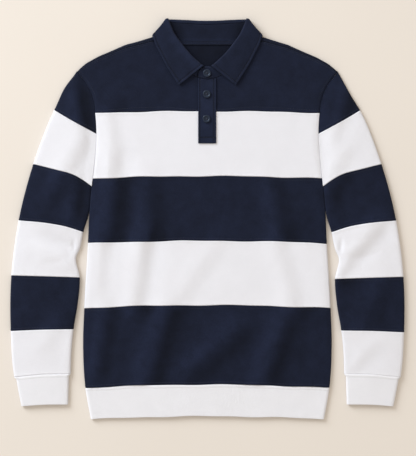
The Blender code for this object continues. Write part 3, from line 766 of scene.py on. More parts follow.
def cloth(name, outer, inner, flat, material, ring=False, keep=None, painted_light=0.0, inner_painted_light=0.0):
    """One closed piece of cloth between two grids of points [rows, columns, 3].

    `flat` holds each point's place on the cloth as it was cut, one column more where the
    grid is a ring, and becomes the UV map in metres. The last two arguments are painted shade
    and painted highlight on the outer and the inner face, darkening or lightening the colour.
    """
    rows, columns = outer.shape[:2]
    index = np.arange(rows * columns).reshape(rows, columns)
    place = np.arange(rows * (columns + ring)).reshape(rows, columns + ring)
    if ring:
        index = np.concatenate([index, index[:, :1]], axis=1)

    def corners(grid):
        quads = np.stack([grid[:-1, :-1], grid[1:, :-1], grid[1:, 1:], grid[:-1, 1:]], axis=-1)
        return quads[keep] if keep is not None else quads.reshape(-1, 4)

    quads, places = corners(index), corners(place)
    turned = [[0, 1], [1, 2], [2, 3], [3, 0]]
    sides = np.concatenate([quads[:, pair] for pair in turned])
    side_places = np.concatenate([places[:, pair] for pair in turned])
    total = rows * columns
    once = ~np.isin(sides[:, 0] * total + sides[:, 1], sides[:, 1] * total + sides[:, 0])
    a, b = sides[once].T
    c, d = side_places[once].T
    faces = np.concatenate([quads, quads[:, ::-1] + total, np.stack([b, a, a + total, b + total], 1)])
    places = np.concatenate([places, places[:, ::-1], np.stack([d, c, c, d], 1)])
    points = np.concatenate([outer.reshape(-1, 3), inner.reshape(-1, 3)])
    used, faces = np.unique(faces, return_inverse=True)
    points, faces = points[used] * MM, faces.reshape(-1, 4)
    if np.linalg.det(points[faces[:, :3]]).sum() < 0:
        faces, places = faces[:, ::-1], places[:, ::-1]
    mesh = bpy.data.meshes.new(name)
    mesh.vertices.add(len(points))
    mesh.vertices.foreach_set("co", points.ravel())
    mesh.loops.add(faces.size)
    mesh.loops.foreach_set("vertex_index", faces.ravel().astype(np.int32))
    mesh.polygons.add(len(faces))
    mesh.polygons.foreach_set("loop_start", np.arange(0, faces.size, 4, dtype=np.int32))
    mesh.update(calc_edges=True)
    mesh.validate()
    layer = mesh.uv_layers.new(name="cut")
    layer.data.foreach_set("uv", (flat.reshape(-1, 2)[places.ravel()] * MM).ravel())
    # Painted shade and painted highlight, kept as a point attribute that scales the cloth's colour
    values = np.stack([painted_light + np.zeros(outer.shape[:2]), inner_painted_light + np.zeros(outer.shape[:2])])
    shade = mesh.attributes.new("painted_light", "FLOAT", "POINT")
    shade.data.foreach_set("value", values.ravel()[used].astype(np.float32))
    mesh.shade_smooth()
    mesh.materials.append(material)
    return linked(name, mesh)


def dress(obj, slot_name, *nodes):
    """The piece rides on the shirt's body and stands for its CAD nodes, which it hides."""
    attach(obj, "root")
    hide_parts(*nodes)
    return obj


def step_mm():
    return bpy.context.scene.shirt_cloth.step / MM


def body_columns(step):
    """Shares across the body and, at each side, the angles of the turn over the side fold."""
    half = int(round(BODY_SIDE[2].half / step))
    level = np.linspace(-1, 1, 2 * half + 1)
    angles = np.radians([12, 26, 42, 58, 74, 90])
    ends = np.ones(len(angles))
    reach = np.r_[-ends, level, ends]
    return reach, np.r_[angles[::-1], 0 * level, angles]


def body_sheet(upper, lower, rows, reach, angle, depth, face, out):
    """One face of a front or back band, `depth` inside the cloth's outer face."""
    down = (rows / rows[-1])[:, None]
    ends = (upper.side - SEAM) * (1 - down) + (lower.side + SEAM) * down
    half = side(ends)
    arm = smooth_step((ends - UNDERARM_Y + 18) / 24)
    roll = SIDE_ROLL * (1 - arm) + ARMHOLE_ROLL * arm
    level = reach * (half - roll)
    sign = np.sign(reach)
    outermost = level + sign * roll * np.sin(angle)
    u = outermost / half
    y = (border_y(upper, u) - SEAM) * (1 - down) + (border_y(lower, u) + SEAM) * down
    x = level + sign * (roll - depth) * np.sin(angle)
    if out > 0:
        middle = SIDE_MIDDLE * (1 - arm) + ARMHOLE_MIDDLE * arm
    else:
        middle = (SIDE_MIDDLE - GAP) * (1 - arm) + (BACK_EDGE_Z + CLOTH) * arm
    z = face(level, y) - out * depth
    return raised(x, y, middle + (z - middle) * np.cos(angle))


def body_band(name, upper, lower, material, thread, front):
    """A band of the front, or of the back, which has a coarser mesh as it hardly shows."""
    face, out = (front_face, 1) if front else (back_face, -1)
    row_step, column_step = (1.0, 0.8) if front else (2.0, 2.0)
    rows = stations(upper.centre - lower.centre - 2 * SEAM, row_step * step_mm())
    reach, angle = body_columns(column_step * step_mm())
    outer = body_sheet(upper, lower, rows, reach, angle, 0.0, face, out)
    inner = body_sheet(upper, lower, rows, reach, angle, CLOTH, face, out)
    near = np.minimum(rows, rows[-1] - rows)[:, None] + 0 * reach
    sew(thread, outer, rows)
    flat = np.stack([length_along(outer, 1), outer[..., 1]], axis=-1)
    # Painted highlight on the crests of the front's folds and painted shade in their troughs
    painted_light = painted_light_of(outer[..., 0], outer[..., 1], BODY_FOLDS, BODY_CREASES) if front else 0.0
    outer, inner = rounded(outer, inner, near)
    return cloth(name, outer, inner, flat, material, painted_light=painted_light)


def body_bands(word):
    """The four bands below the yoke of the front or the back, each with the cloth it is cut from."""
    front = word == "front"
    blocks = [("white", white_cloth()), ("navy", navy_cloth())] * 2
    for number, (colour, material) in enumerate(blocks):
        upper, lower = BORDERS[number], BORDERS[number + 1]
        node = f"{word}_band_{number + 2}"
        made = body_band(node + "_cloth", upper, lower, material, colour, front)
        dress(made, colour + "_cloth", node)


def sew(thread, grid, rows, closed=False, ends=(True, True), stitch=TOPSTITCH):
    """Keeps the rows of the grid that lie `stitch` from either end as lines of sewing."""
    for wanted, distance in ((ends[0], stitch), (ends[1], rows[-1] - stitch)):
        if not wanted:
            continue
        line = grid[int(np.argmin(np.abs(rows - distance)))]
        sewn[thread].append(np.concatenate([line, line[:1]]) if closed else line)


def across_edge(points, knots):
    """The edge through these points as a function of the share across."""
    return lambda t: np.stack([np.interp(t, knots, points[:, i]) for i in (0, 1)], axis=1)


def front_yoke(name, direction, slit, material):
    """Half of the front yoke, from the slit to the armhole, with its neck and shoulder edges."""
    neck_first = float(np.interp(slit, [p.x for p in FRONT_NECK], [p.y for p in FRONT_NECK]))
    neck = [Point(slit, neck_first)] + [p for p in FRONT_NECK if p.x > slit + 1]
    neck = [Point(p.x, p.y - 2 * SEAM) for p in neck]
    arm_x = np.linspace(SHOULDER[0].x, SEAM_END, 24)[1:]
    arm = [Point(v, float(shoulder_y(direction * v) - seam_forward(v))) for v in arm_x]
    top = np.array(neck + arm)
    run = np.r_[0, np.cumsum(np.linalg.norm(np.diff(top, axis=0), axis=1))]
    knots = run / run[-1]
    bottom_x = slit + (side(YOKE_HEM.side) - slit) * knots
    hem = border_y(YOKE_HEM, bottom_x / side(YOKE_HEM.side)) + SEAM
    bottom = np.stack([bottom_x, hem], axis=1)
    high = top[-1, 1]
    low = bottom[-1, 1]

    def slit_edge(s):
        ys = top[0, 1] * (1 - s) + bottom[0, 1] * s
        return np.stack([np.full_like(s, slit), ys], axis=1)

    def armhole(s):
        ys = high * (1 - s) + low * s
        return np.stack([side(ys), ys], axis=1)

    rows = stations(high - low, 0.8 * step_mm())
    columns = stations(run[-1], step_mm())
    s, t = np.meshgrid(rows / rows[-1], columns / columns[-1], indexing="ij")
    x, y = patch(across_edge(top, knots), across_edge(bottom, knots), slit_edge, armhole, s, t)
    x = direction * x
    z = front_face(x, y)
    outer, inner = raised(x, y, z), raised(x, y, z - CLOTH)
    near = np.minimum(np.minimum(rows, rows[-1] - rows)[:, None], columns[-1] - columns)
    outer, inner = rounded(outer, inner, near)
    sew("navy", outer, rows, ends=(False, True))
    line_y = np.linspace(low + 1, high - 1, 60)
    line_x = direction * (side(line_y) - ARMHOLE_STITCH)
    sewn["navy"].append(raised(line_x, line_y, front_face(line_x, line_y)))
    shoulder_x = np.linspace(SHOULDER[0].x + 3, SEAM_END - 4, 60)
    for inset in (1.2, 4.6):
        line = shoulder_y(direction * shoulder_x) - seam_forward(shoulder_x) - inset
        line_z = front_face(direction * shoulder_x, line)
        sewn["navy"].append(raised(direction * shoulder_x, line, line_z))
    # Painted highlight on the crests of the yoke's folds and painted shade in their troughs
    painted_light = painted_light_of(x, y, BODY_FOLDS, BODY_CREASES)
    for x_low in np.arange(SHOULDER[0].x + 6, SEAM_END - 40, 4.0):
        hatch_x = np.linspace(x_low, x_low + 4.5, 3)
        inset = np.linspace(0.8, 0.3, 3) * seam_forward(hatch_x)
        hatch_y = shoulder_y(direction * hatch_x) - inset
        high_z = front_base(direction * hatch_x, hatch_y) + 0.28
        sewn["navy"].append(raised(direction * hatch_x, hatch_y, high_z))
    return cloth(name, outer, inner, np.stack([x, y], axis=-1), material, painted_light=painted_light)


def back_yoke(name, material):
    """The back yoke, and where it comes over the shoulder fold to the forward seam."""
    neck = np.array(BACK_NECK)
    neck[:, 1] -= SEAM
    arm_x = np.linspace(SHOULDER[0].x, WRAP_END, 18)[1:]
    turn = SHOULDER_ROLL / SHOULDER_COS
    arm = np.array([(v, shoulder_y(v) - turn) for v in arm_x])
    half = np.concatenate([neck, arm])
    shares = np.r_[np.linspace(0, 0.42, len(neck)), np.linspace(0.42, 1, len(arm) + 1)[1:]]
    knots = (np.r_[-shares[:0:-1], shares] + 1) / 2
    top = np.concatenate([half[:0:-1] * (-1, 1), half])
    top[: len(arm), 1] = shoulder_y(top[: len(arm), 0]) - turn
    ends = np.concatenate([np.linspace(-1, -0.42, 40), np.linspace(-0.42, 0.42, 56)[1:-1]])
    t = np.unique(np.round(np.r_[ends, -ends], 6))
    rows = stations(80.0, 1.2 * step_mm())
    down = rows / rows[-1]
    low_x = t * side(YOKE_HEM.side)
    low = np.stack([low_x, border_y(YOKE_HEM, t) + SEAM], axis=1)
    share = (t + 1) / 2

    def armhole(direction):
        def edge(s):
            ys = top[0, 1] * (1 - s) + low[0, 1] * s
            return np.stack([direction * side(ys), ys], axis=1)

        return edge

    s, v = np.meshgrid(down, share, indexing="ij")
    upper = across_edge(top, knots)
    x, y = patch(upper, across_edge(low, share), armhole(-1), armhole(1), s, v)
    z = back_face(x, y)
    crinkle = 0.35 * (1 + uneven(x, y, 26, 31)) * smooth_step((y - 210) / 20)
    outer, inner = [raised(x, y, z)], [raised(x, y, z + CLOTH + crinkle)]
    x = x[0]
    base = z[0]
    crest = front_base(x, shoulder_y(x) - SHOULDER_ROLL)
    forward = seam_forward(x) - GAP
    half_high = (crest - base) / 2
    middle = base + half_high
    last = np.arccos(np.clip(1 - forward * SHOULDER_COS / SHOULDER_ROLL, -1, 1))
    turns = np.linspace(0, 1, 15)[1:]
    for turn_share in turns:
        angle = -np.pi / 2 + turn_share * (np.pi / 2 + last)
        for grids, wall in ((outer, 0.0), (inner, CLOTH)):
            depth = SHOULDER_ROLL - (SHOULDER_ROLL - wall) * np.cos(angle)
            high = middle + (half_high - wall) * np.sin(angle)
            at_tip = smooth_step((np.abs(x) - TIP_START) / 40)
            end = x + np.sign(x) * TIP_STRETCH * smooth_step(4 * turn_share) * at_tip
            if turn_share == 1.0:
                depth = np.maximum(forward * SHOULDER_COS, SHOULDER_ROLL * (1 - np.cos(last)))
            grids.insert(0, raised(end, shoulder_y(end) - depth / SHOULDER_COS, high)[None])
    keep = np.ones((len(rows) + len(turns) - 1, len(t) - 1), bool)
    shoulder = np.abs(t) > 0.4
    keep[: len(turns)] = (shoulder[:-1] & shoulder[1:])[None]
    outer, inner = np.concatenate(outer), np.concatenate(inner)
    flat = np.stack([outer[..., 0], length_along(outer, 0) * -1], axis=-1)
    sew("navy", outer[len(turns) :], rows, ends=(False, True))
    # Painted shade and highlight over the shoulder turn: darkest at the forward seam, lighter towards
    # the turn's other end; the inside face, which shows in the neck, is painted darker as shade
    painted_light = np.zeros(outer.shape[:2])
    painted_light[: len(turns)] = np.linspace(-0.8, 0.7, len(turns))[:, None]
    painted_light[0] = -1.0
    return cloth(name, outer, inner, flat, material, keep=keep, painted_light=painted_light, inner_painted_light=-1.25)


def sleeve_knots():
    flat = [p for group in SLEEVE_INNER for p in group]
    return np.array([(p.x + 0.1, p.y) for p in flat])


def sleeve_border(number, share):
    knots = sleeve_knots()
    start = knots[SLEEVE_STARTS[number]]
    points = [SLEEVE_OUTER[number]] + SLEEVE_BORDERS[number] + [start]
    return along(np.array(points)[::-1], share)


def sleeve_patch(number, down, across):
    """x and y inside a sleeve band, down its length and across from its inner edge."""
    knots = sleeve_knots()
    first, last = SLEEVE_STARTS[number], SLEEVE_STARTS[number + 1]
    return patch(
        lambda t: sleeve_border(number, t),
        lambda t: sleeve_border(number + 1, t),
        lambda s: along(knots, s, first, last),
        lambda s: along(SLEEVE_OUTER, s, number, number + 1),
        down,
        across,
    )


Ways = namedtuple("Ways", "closed tops rounds lows roll mirror folds creases seed")


def ring(where, share, heights, ways):
    """Outer and inner points round a flattened tube at one share of its length."""
    ends_x, ends_y = where(np.array([share, share]), np.array([0.0, 1.0]))
    width = float(np.hypot(np.diff(ends_x), np.diff(ends_y))[0])
    turn = min(ways.roll, 0.42 * width)
    wall = min(CLOTH, turn - 0.4)
    high = Edge(*(np.asarray(heights[0]) * (1 - share) + np.asarray(heights[1]) * share))
    bend = np.linspace(np.pi / 2, -np.pi / 2, ways.rounds + 2)[1:-1]
    start = turn / width if ways.closed else 0.0
    end = 1 - turn / width
    across = np.linspace(turn / width, end, ways.tops)
    if not ways.closed:
        across = np.r_[np.array([0, 0.4, 1.2, 2.4, 4.0]) / width, across]
    level = (across - start) / (end - start)
    x, y = where(np.full(len(across), share), across)
    x = ways.mirror * x
    bulge = np.sin(np.pi * np.clip(level, 0, 1))
    rise = (high.crest - (high.inner + high.outer) / 2) * np.maximum(bulge, 0) ** 0.8
    fade = smooth_step(np.minimum(across, 1 - across) * width / 22)
    top = high.inner + (high.outer - high.inner) * level + rise
    top = top + fade * fold_height(x, y, ways.folds) + fade * swell(x, y, ways.seed)
    edge_fade = smooth_step((1 - across) * width / 14)
    if ways.closed:
        edge_fade = edge_fade * smooth_step(across * width / 14)
    top = above(top - edge_fade * crease_depth(x, y, ways.creases), LEAST_SLEEVE_Z)
    grids = []
    for step in (0.0, wall):
        reach = turn - (turn - step) * np.cos(bend)
        half = top[-1] / 2
        sides = [(across, top - step), (1 - reach / width, half + (half - step) * np.sin(bend))]
        low = np.linspace(end, turn / width, ways.lows)
        flat = np.full(ways.lows, step)
        if not ways.closed:
            low = np.append(low, 0)
            flat = np.append(flat, step + BACK_EDGE_Z)
        sides.append((low, flat))
        if ways.closed:
            half = top[0] / 2
            sides.append((reach[::-1] / width, half - (half - step) * np.sin(bend)))
        t = np.concatenate([a for a, _ in sides])
        z = np.concatenate([b for _, b in sides])
        x_all, y_all = where(np.full(len(t), share), t)
        grids.append(raised(ways.mirror * x_all, y_all, z))
    return grids[0], grids[1], t * width


def tube(where, rows, heights, ways):
    """Grids of a flattened tube, and each point's distance from the tube's inner edge."""
    shares = rows / rows[-1]
    rings = [ring(where, float(share), heights, ways) for share in shares]
    return (np.array([made[i] for made in rings]) for i in range(3))


def tube_flat(outer, rows, closed):
    """Places on the tube's cloth when it is cut open and laid flat."""
    grid = np.concatenate([outer, outer[:, :1]], axis=1) if closed else outer
    return np.stack(np.broadcast_arrays(length_along(grid, 1), -rows[:, None]), axis=-1)


def sleeve_band(name, number, direction, material, thread, folds, creases):
    def where(s, t):
        x, y = sleeve_patch(number, s, t)
        change = FULLER[direction]
        fuller = change.most * t * bell(y - change.y, change.spread)
        if direction > 0:
            y = y - RIGHT_DROP.most * bell(y - RIGHT_DROP.y, RIGHT_DROP.spread)
        return x + OUTWARD[0] * fuller, y + OUTWARD[1] * fuller

    inner_run = np.linalg.norm(np.diff(sleeve_knots(), axis=0), axis=1)
    length = np.hypot(*(np.array(SLEEVE_OUTER[number]) - np.array(SLEEVE_OUTER[number + 1])))
    short = inner_run[SLEEVE_STARTS[number] : SLEEVE_STARTS[number + 1]].sum()
    closed = number > 1
    ways = Ways(closed, 46, 9, 26, SLEEVE_ROLL, direction, folds, creases, 40 + number)
    rows = stations(length, step_mm())
    squeezed = SEAM + rows * (1 - 2 * SEAM / rows[-1])
    outer, inner, across = tube(where, squeezed, SLEEVE_HEIGHTS[number : number + 2], ways)
    width = across.max(axis=1, keepdims=True)
    local = (short + (length - short) * across / width) / length
    near = np.minimum(rows, rows[-1] - rows)[:, None] * local
    depth = drawn_in(near, across + 100 * number)
    if not closed:
        depth = depth + drawn_in(across + 3.5, outer[..., 1], ARMHOLE_STITCH) * (across < 12)
    outer = sunk(outer, inner, np.where(outer[..., 2] < 1.0, np.maximum(depth, 0), depth))
    sew(thread, outer, rows, closed)
    flat = tube_flat(outer, rows, closed)
    # Painted highlight on the crests of the sleeve's folds and painted shade in their troughs, upper
    # face only
    painted_light = painted_light_of(outer[..., 0], outer[..., 1], folds, creases) * (outer[..., 2] > 3)
    outer, inner = rounded(outer, inner, near)
    return cloth(name, outer, inner, flat, material, ring=closed, painted_light=painted_light)


RIB_COLUMNS = 4
RIB_STEPS = np.array([0.0, 0.3, 0.8, 2.0, 4.0, RIB_STITCH, 6.4])


def rib_tube(name, where, length, width, heights, roll, mirror, seed):
    """A flattened tube of rib knit, its ribs running down its length."""
    settings = bpy.context.scene.shirt_rib
    ribs = int(round((width - 2 * roll) / (settings.pitch / MM)))
    count = RIB_COLUMNS * ribs
    ways = Ways(True, count, 3 * RIB_COLUMNS, count, roll, mirror, [], [], seed)
    rows = stations(length, 3.5 * step_mm(), RIB_STEPS)
    outer, inner, across = tube(where, SEAM + rows * (1 - SEAM / rows[-1]), heights, ways)
    phase = np.arange(outer.shape[1]) / RIB_COLUMNS
    ridge = np.abs(np.sin(np.pi * phase)) ** 0.7
    top, hem = rows[:, None], (rows[-1] - rows)[:, None]
    depth = settings.height / MM * (1 - ridge) * smooth_step((top - RIB_STITCH + 2) / 4)
    depth = depth + drawn_in(top, across + 50 * seed, RIB_STITCH)
    depth = depth + 0.1 * uneven(across + 9 * seed, top, 14, 5)
    flat = tube_flat(outer, rows, True)
    outer = sunk(outer, inner, np.where(outer[..., 2] < 1.0, np.maximum(depth, 0), depth))
    sew("white", outer, rows, True, (True, False), RIB_STITCH)
    # Painted highlight on the strip between the seam and the topstitch, painted shade along the
    # topstitch
    painted_light = 0.4 * (top < RIB_STITCH - 1) - 2.0 * bell(top - RIB_STITCH, 0.9)
    near = np.minimum(top, hem) + 0 * depth
    outer, inner = rounded(outer, inner, near)
    return cloth(name, outer, inner, flat, white_rib(), ring=True, painted_light=painted_light)


def hem_place(down, across):
    u = 2 * across - 1
    top, low = border_y(RIB_SEAM, u) - SEAM, border_y(RIB_HEM, u)
    ends = (RIB_SEAM.side - SEAM) * (1 - down) + RIB_HEM.side * down
    return u * side(ends), top * (1 - down) + low * down


def cuff_place(down, across):
    """The cuff, drawn in a little on both sides where it leaves the sleeve."""
    x, y = sleeve_patch(CUFF, down, across)
    return x + CUFF_IN * smooth_step(down * 12) * (1 - down) * (1 - 2 * across), y


def collar_frame(station, mirror):
    """Axes of a collar section: out over the crest of the roll, and from the lip to the fall."""
    crest = np.array([mirror * station.roll_x, station.roll_y, 0.0])
    edge = np.array([mirror * station.edge_x, station.edge_y, 0.0])
    neck = np.array([mirror * station.neck_x, station.neck_y, 0.0])
    out = (crest - edge) / np.linalg.norm(crest - edge)
    turn = np.radians(station.turn)
    sideways = np.array([mirror * ALONG_SHOULDER[0], ALONG_SHOULDER[1], 0.0])
    sideways = sideways - out * (sideways @ out)
    sideways /= np.linalg.norm(sideways)
    fall = np.cos(turn) * sideways + np.sin(turn) * np.array([0.0, 0.0, 1.0])
    blend = (np.sin(turn) + 1) / 2
    crest[2] = ROLL_BACK_Z + (ROLL_FRONT_Z - ROLL_BACK_Z) * blend
    edge[2] = (FRONT_Z + GAP + FALL_WALL + LEAF_LIFT) * blend
    neck[2] = (COLLAR_LIFT + NECK_LAYER / 2) * (1 - blend) + (FRONT_Z - NECK_LAYER / 2) * blend
    return crest, edge, neck, out, fall


def collar_stations(step):
    """A fine ring of stations, from the right front edge round the back to the left."""
    table = np.array(COLLAR)
    at = [0.0, 0.03, 0.08, 0.16, 0.3, 0.5, LEAF_STITCH / 7.0, 0.85]
    for k in range(1, len(COLLAR) - 1):
        run = np.linalg.norm(np.diff(table[k : k + 2, :6].reshape(2, 3, 2), axis=0), axis=-1).max()
        turned = abs(table[k + 1, 6] - table[k, 6]) / 9
        count = int(np.ceil(max(run / step, turned, 2)))
        at.extend(k + np.arange(count) / count)
    at.append(len(COLLAR) - 1)
    right = [Station(*row) for row in spline(table, np.array(at))]
    return [(station, 1) for station in right] + [(station, -1) for station in right[-2::-1]]


LEAF_RIM = 0.22  # share of the leaf's length that has close rows
LEAF_SHARES = np.array([0.06, 0.14, 0.24, 0.36, 0.48, 0.6, 0.7, 0.78])
LEAF_NEAR = np.array([7.0, 5.9, LEAF_STITCH, 4.1, 3.2, 2.2, 1.4, 0.8, 0.4, 0.15, 0.0])


def collar_fall(name, material):
    """The fall: a lip under the roll, the roll, and the leaf out to its topstitched edge."""
    outer, inner, near = [], [], []
    for station, mirror in collar_stations(4.0):
        crest, edge, _, out, fall = collar_frame(station, mirror)
        centre = crest - ROLL_RADIUS * out
        bend = np.radians(np.linspace(-90, 90, 15))
        for rows, radius in ((outer, ROLL_RADIUS), (inner, ROLL_RADIUS - FALL_WALL)):
            arc = centre + radius * (np.cos(bend)[:, None] * out + np.sin(bend)[:, None] * fall)
            lip = arc[0] - LIP * np.array([1.0, 0.6, 0.2])[:, None] * out
            end = edge - (ROLL_RADIUS - radius) * fall
            leaf_length = np.linalg.norm(end - arc[-1])
            edge_near = LEAF_NEAR * min(1, LEAF_RIM * leaf_length / LEAF_NEAR[0])
            share = np.r_[LEAF_SHARES * (1 - LEAF_RIM), 1 - edge_near / leaf_length][:, None]
            leaf = arc[-1] * (1 - share) + end * share
            rows.append(np.concatenate([lip, arc, leaf]))
        far = np.full(len(lip) + len(arc), 50.0)
        near.append(np.r_[far, leaf_length * (1 - LEAF_SHARES * (1 - LEAF_RIM)), edge_near])
    outer, inner, near = np.array(outer), np.array(inner), np.array(near)
    front = np.minimum(length_along(outer, 0), length_along(outer[::-1], 0)[::-1])
    leaf_part = np.arange(outer.shape[1]) >= len(lip) + 6
    edge_depth = 0.6 * bell(near - LEAF_STITCH, 0.9)
    front_depth = 0.6 * bell(front - LEAF_STITCH, 0.9) * leaf_part
    inside = near > LEAF_STITCH - 0.5
    depth = edge_depth * (front > LEAF_STITCH - 0.5) + front_depth * inside
    border = np.minimum(near, np.where(leaf_part, front, near))
    depth = depth - 0.3 * (1 - smooth_step((border - LEAF_STITCH + 1.2) / 1.5))
    x, y = outer[..., 0], outer[..., 1]
    depth = depth + leaf_part * (0.18 * uneven(x, y, 17, 51) + 0.08 * uneven(x, y, 6, 52))
    outer = sunk(outer, inner, depth)
    outer[..., 2] = np.maximum(outer[..., 2], 0)
    keep_leaf_line(outer, near, front, len(lip) + 8)
    flat = np.stack([length_along(outer, 0), -length_along(outer, 1)], axis=-1)
    at_front = np.abs(front - LEAF_STITCH) + 9 * (1 - leaf_part)
    stitched = np.minimum(np.abs(near - LEAF_STITCH), at_front)
    # Painted highlight on the rim outside the topstitch and painted shade along the topstitch
    painted_light = 0.4 * (border < LEAF_STITCH - 1) - 1.3 * bell(stitched, 0.9)
    run = length_along(outer, 1)
    from_roll = run - run[:, len(lip) + 8][:, None]
    # Painted highlight along the roll, four times as strong on the viewer's left, where the lamp is,
    # and stronger where the collar lies higher
    painted_roll_highlight = np.where(outer[..., 0] < 0, 0.8, 0.2) * np.clip(outer[..., 2] / 8, 0, 1)
    painted_light = painted_light + painted_roll_highlight * bell(from_roll - 5, 10)
    outer, inner = rounded(outer, inner, np.minimum(near, front), 0.9)
    return cloth(name, outer, inner, flat, material, painted_light=painted_light)


def keep_leaf_line(outer, near, front, first_column):
    """Sewing of the leaf: down one front edge, all along the outer edge and up the other."""
    column = int(np.argmin(np.abs(near[len(near) // 4] - LEAF_STITCH)))
    station = int(np.argmin(np.abs(front[: len(front) // 4, column] - LEAF_STITCH)))
    sewn["navy"].append(
        np.concatenate(
            [
                outer[station, first_column:column],
                outer[station : len(outer) - station, column],
                outer[len(outer) - 1 - station, first_column:column][::-1],
            ]
        )
    )


STAND_SHARES = np.array([0, 0.02, 0.06, 0.12, 0.22, 0.36, 0.5, 0.64, 0.78, 0.88, 0.94, 0.98, 1.0])
TAB_COLUMNS = 26


def collar_stand(name, material):
    """The neckband: from under the roll to the neck seam, with its button end over the slit."""
    outer, inner = [], []
    ring_stations = collar_stations(5.0)
    while ring_stations[-1][0].neck_x < 19.5:
        ring_stations.pop()
    share = STAND_SHARES[:, None]
    for station, mirror in ring_stations:
        crest, _, neck, out, fall = collar_frame(station, mirror)
        start = crest - ROLL_RADIUS * out - ROLL_RADIUS * fall - (LIP + GAP) * out
        end = neck - STAND_WALL / 2 * fall
        end = end + (start - end) / np.linalg.norm(start - end) * 0.35
        rows = start * (1 - share) + end * share
        outer.append(rows)
        inner.append(rows + STAND_WALL * fall)
    at = np.linspace(0, len(TAB) - 1, TAB_COLUMNS)
    for top, low in zip(*(spline(np.array(TAB)[:, i : i + 2], at) for i in (0, 2))):
        top = np.array([*top, TAB[0].z])
        low = np.array([low[0], low[1] + 0.3, TAB[0].z])
        rows = top * (1 - share) + low * share
        outer.insert(0, rows)
        inner.insert(0, rows + (0, 0, STAND_WALL))
    outer, inner = np.array(outer), np.array(inner)
    down = length_along(outer, 1)
    near = np.minimum(down, down[:, -1:] - down)
    along_band = np.minimum(length_along(outer, 0), length_along(outer[::-1], 0)[::-1])
    tab_inner = inner[: TAB_COLUMNS - 1]
    for line in (inner[TAB_COLUMNS:, -3], tab_inner[:, 3], tab_inner[:, -4]):
        sewn["navy"].append(line + (0, 0, 0.05))
    flat = np.stack([length_along(outer, 0), -down], axis=-1)
    # Painted shade, darker towards the sides of the neckband, and a painted highlight 3.5 mm from its
    # lower edge
    painted_light = -0.3 - 0.8 * smooth_step((np.abs(outer[..., 0]) - 34) / 30)
    painted_light = painted_light + 0.6 * bell(down[:, -1:] - down - 3.5, 2)
    outer, inner = rounded(outer, inner, np.minimum(near, along_band), 0.9)
    return cloth(name, outer, inner, flat, material, painted_light=painted_light)


def neck_tape(name, material):
    """The tape that covers the back neck seam on the inside."""
    x = np.linspace(-TAPE_HALF, TAPE_HALF, 71)
    across = TAPE_TOP - TAPE_LOW
    near = np.array([0, 0.2, 0.5, 1.0, 1.6, 2.4, 3.2])
    rows = np.r_[near, across - near[::-1]]
    y = TAPE_LOW + rows[:, None] + 0 * x
    x = x + 0 * y
    z = TAPE_Z + np.clip((y - 337.0) * 0.06, 0, 1) + 0.12 * uneven(x, y, 11, 61)
    stitched = np.minimum(np.abs(rows - 1.0), np.abs(across - rows - 2.4))[:, None] + 0 * x
    z = z - 0.25 * bell(stitched, 0.8)
    near = np.minimum(rows, across - rows)[:, None] + 0 * x
    outer, inner = raised(x, y, z + TAPE_THICK), raised(x, y, z)
    sewn["navy"].append(outer[3])
    sewn["navy"].append(outer[-6])
    # Painted highlight over the tape and painted shade along its two stitch lines
    painted_light = 0.3 - 1.8 * bell(stitched, 0.8)
    outer, inner = rounded(outer, inner, near, 0.5)
    return cloth(name, outer, inner, np.stack([x, y], axis=-1), material, painted_light=painted_light)


def placket(name, left, right, low_y, material, lift, wall, topstitched):
    """A strip of the placket, `lift` above the underside of the front."""
    columns = stations(right - left, 1.6)
    x = left + columns
    neck = np.interp(np.abs(x), [p.x for p in FRONT_NECK], [p.y for p in FRONT_NECK]) - 0.4
    box = BOX_STITCH_Y - low_y
    steps = np.r_[EDGE_STEPS, box + np.array([-1.2, -0.5, 0, 0.5, 1.2])]
    rows = stations(float(neck.max()) - low_y, 2.2, steps)
    share = (rows / rows[-1])[:, None]
    y = neck * (1 - share) + low_y * share
    x = x + 0 * y
    z = front_base(x, y) - CLOTH + lift
    outer, inner = raised(x, y, z + wall), raised(x, y, z)
    near_side = np.minimum(columns, columns[-1] - columns) + 0 * y
    near_end = (rows[-1] - rows)[:, None] + 0 * y
    # Painted shade over the whole under strip, which lies beneath the upper one
    painted_light = -1.0
    if topstitched:
        sides = np.minimum(np.abs(x - left - PLACKET_STITCH[0]), np.abs(right - PLACKET_STITCH[1] - x))
        line = np.minimum(sides, np.abs(y - BOX_STITCH_Y))
        depth = 0.42 * bell(line, 0.8) + 0.1 * uneven(x, y, 6, 71)
        outer = sunk(outer, inner, depth)
        # Painted highlight on the upper strip and painted shade along its stitch lines
        painted_light = 0.55 - 2.1 * bell(line, 0.9)
        keep_placket_lines(left, right, low_y, lift + wall - CLOTH)
    outer, inner = rounded(outer, inner, np.minimum(near_side, near_end), 0.8)
    return cloth(name, outer, inner, np.stack([x, y], axis=-1), material, painted_light=painted_light)


def keep_placket_lines(left, right, low_y, lift):
    """Both long edges, and the end with the box above it."""
    top = FRONT_NECK[0].y - 2.0
    low = low_y + 2.3
    left, right = left + PLACKET_STITCH[0], right - PLACKET_STITCH[1]
    runs = [
        ((left, top), (left, low)),
        ((left, low), (right, low)),
        ((right, low), (right, top)),
        ((left, BOX_STITCH_Y), (right, BOX_STITCH_Y)),
    ]
    for start, end in runs:
        share = np.linspace(0, 1, 60)
        x = start[0] * (1 - share) + end[0] * share
        y = start[1] * (1 - share) + end[1] * share
        sewn["navy"].append(raised(x, y, front_base(x, y) + lift - 0.2))


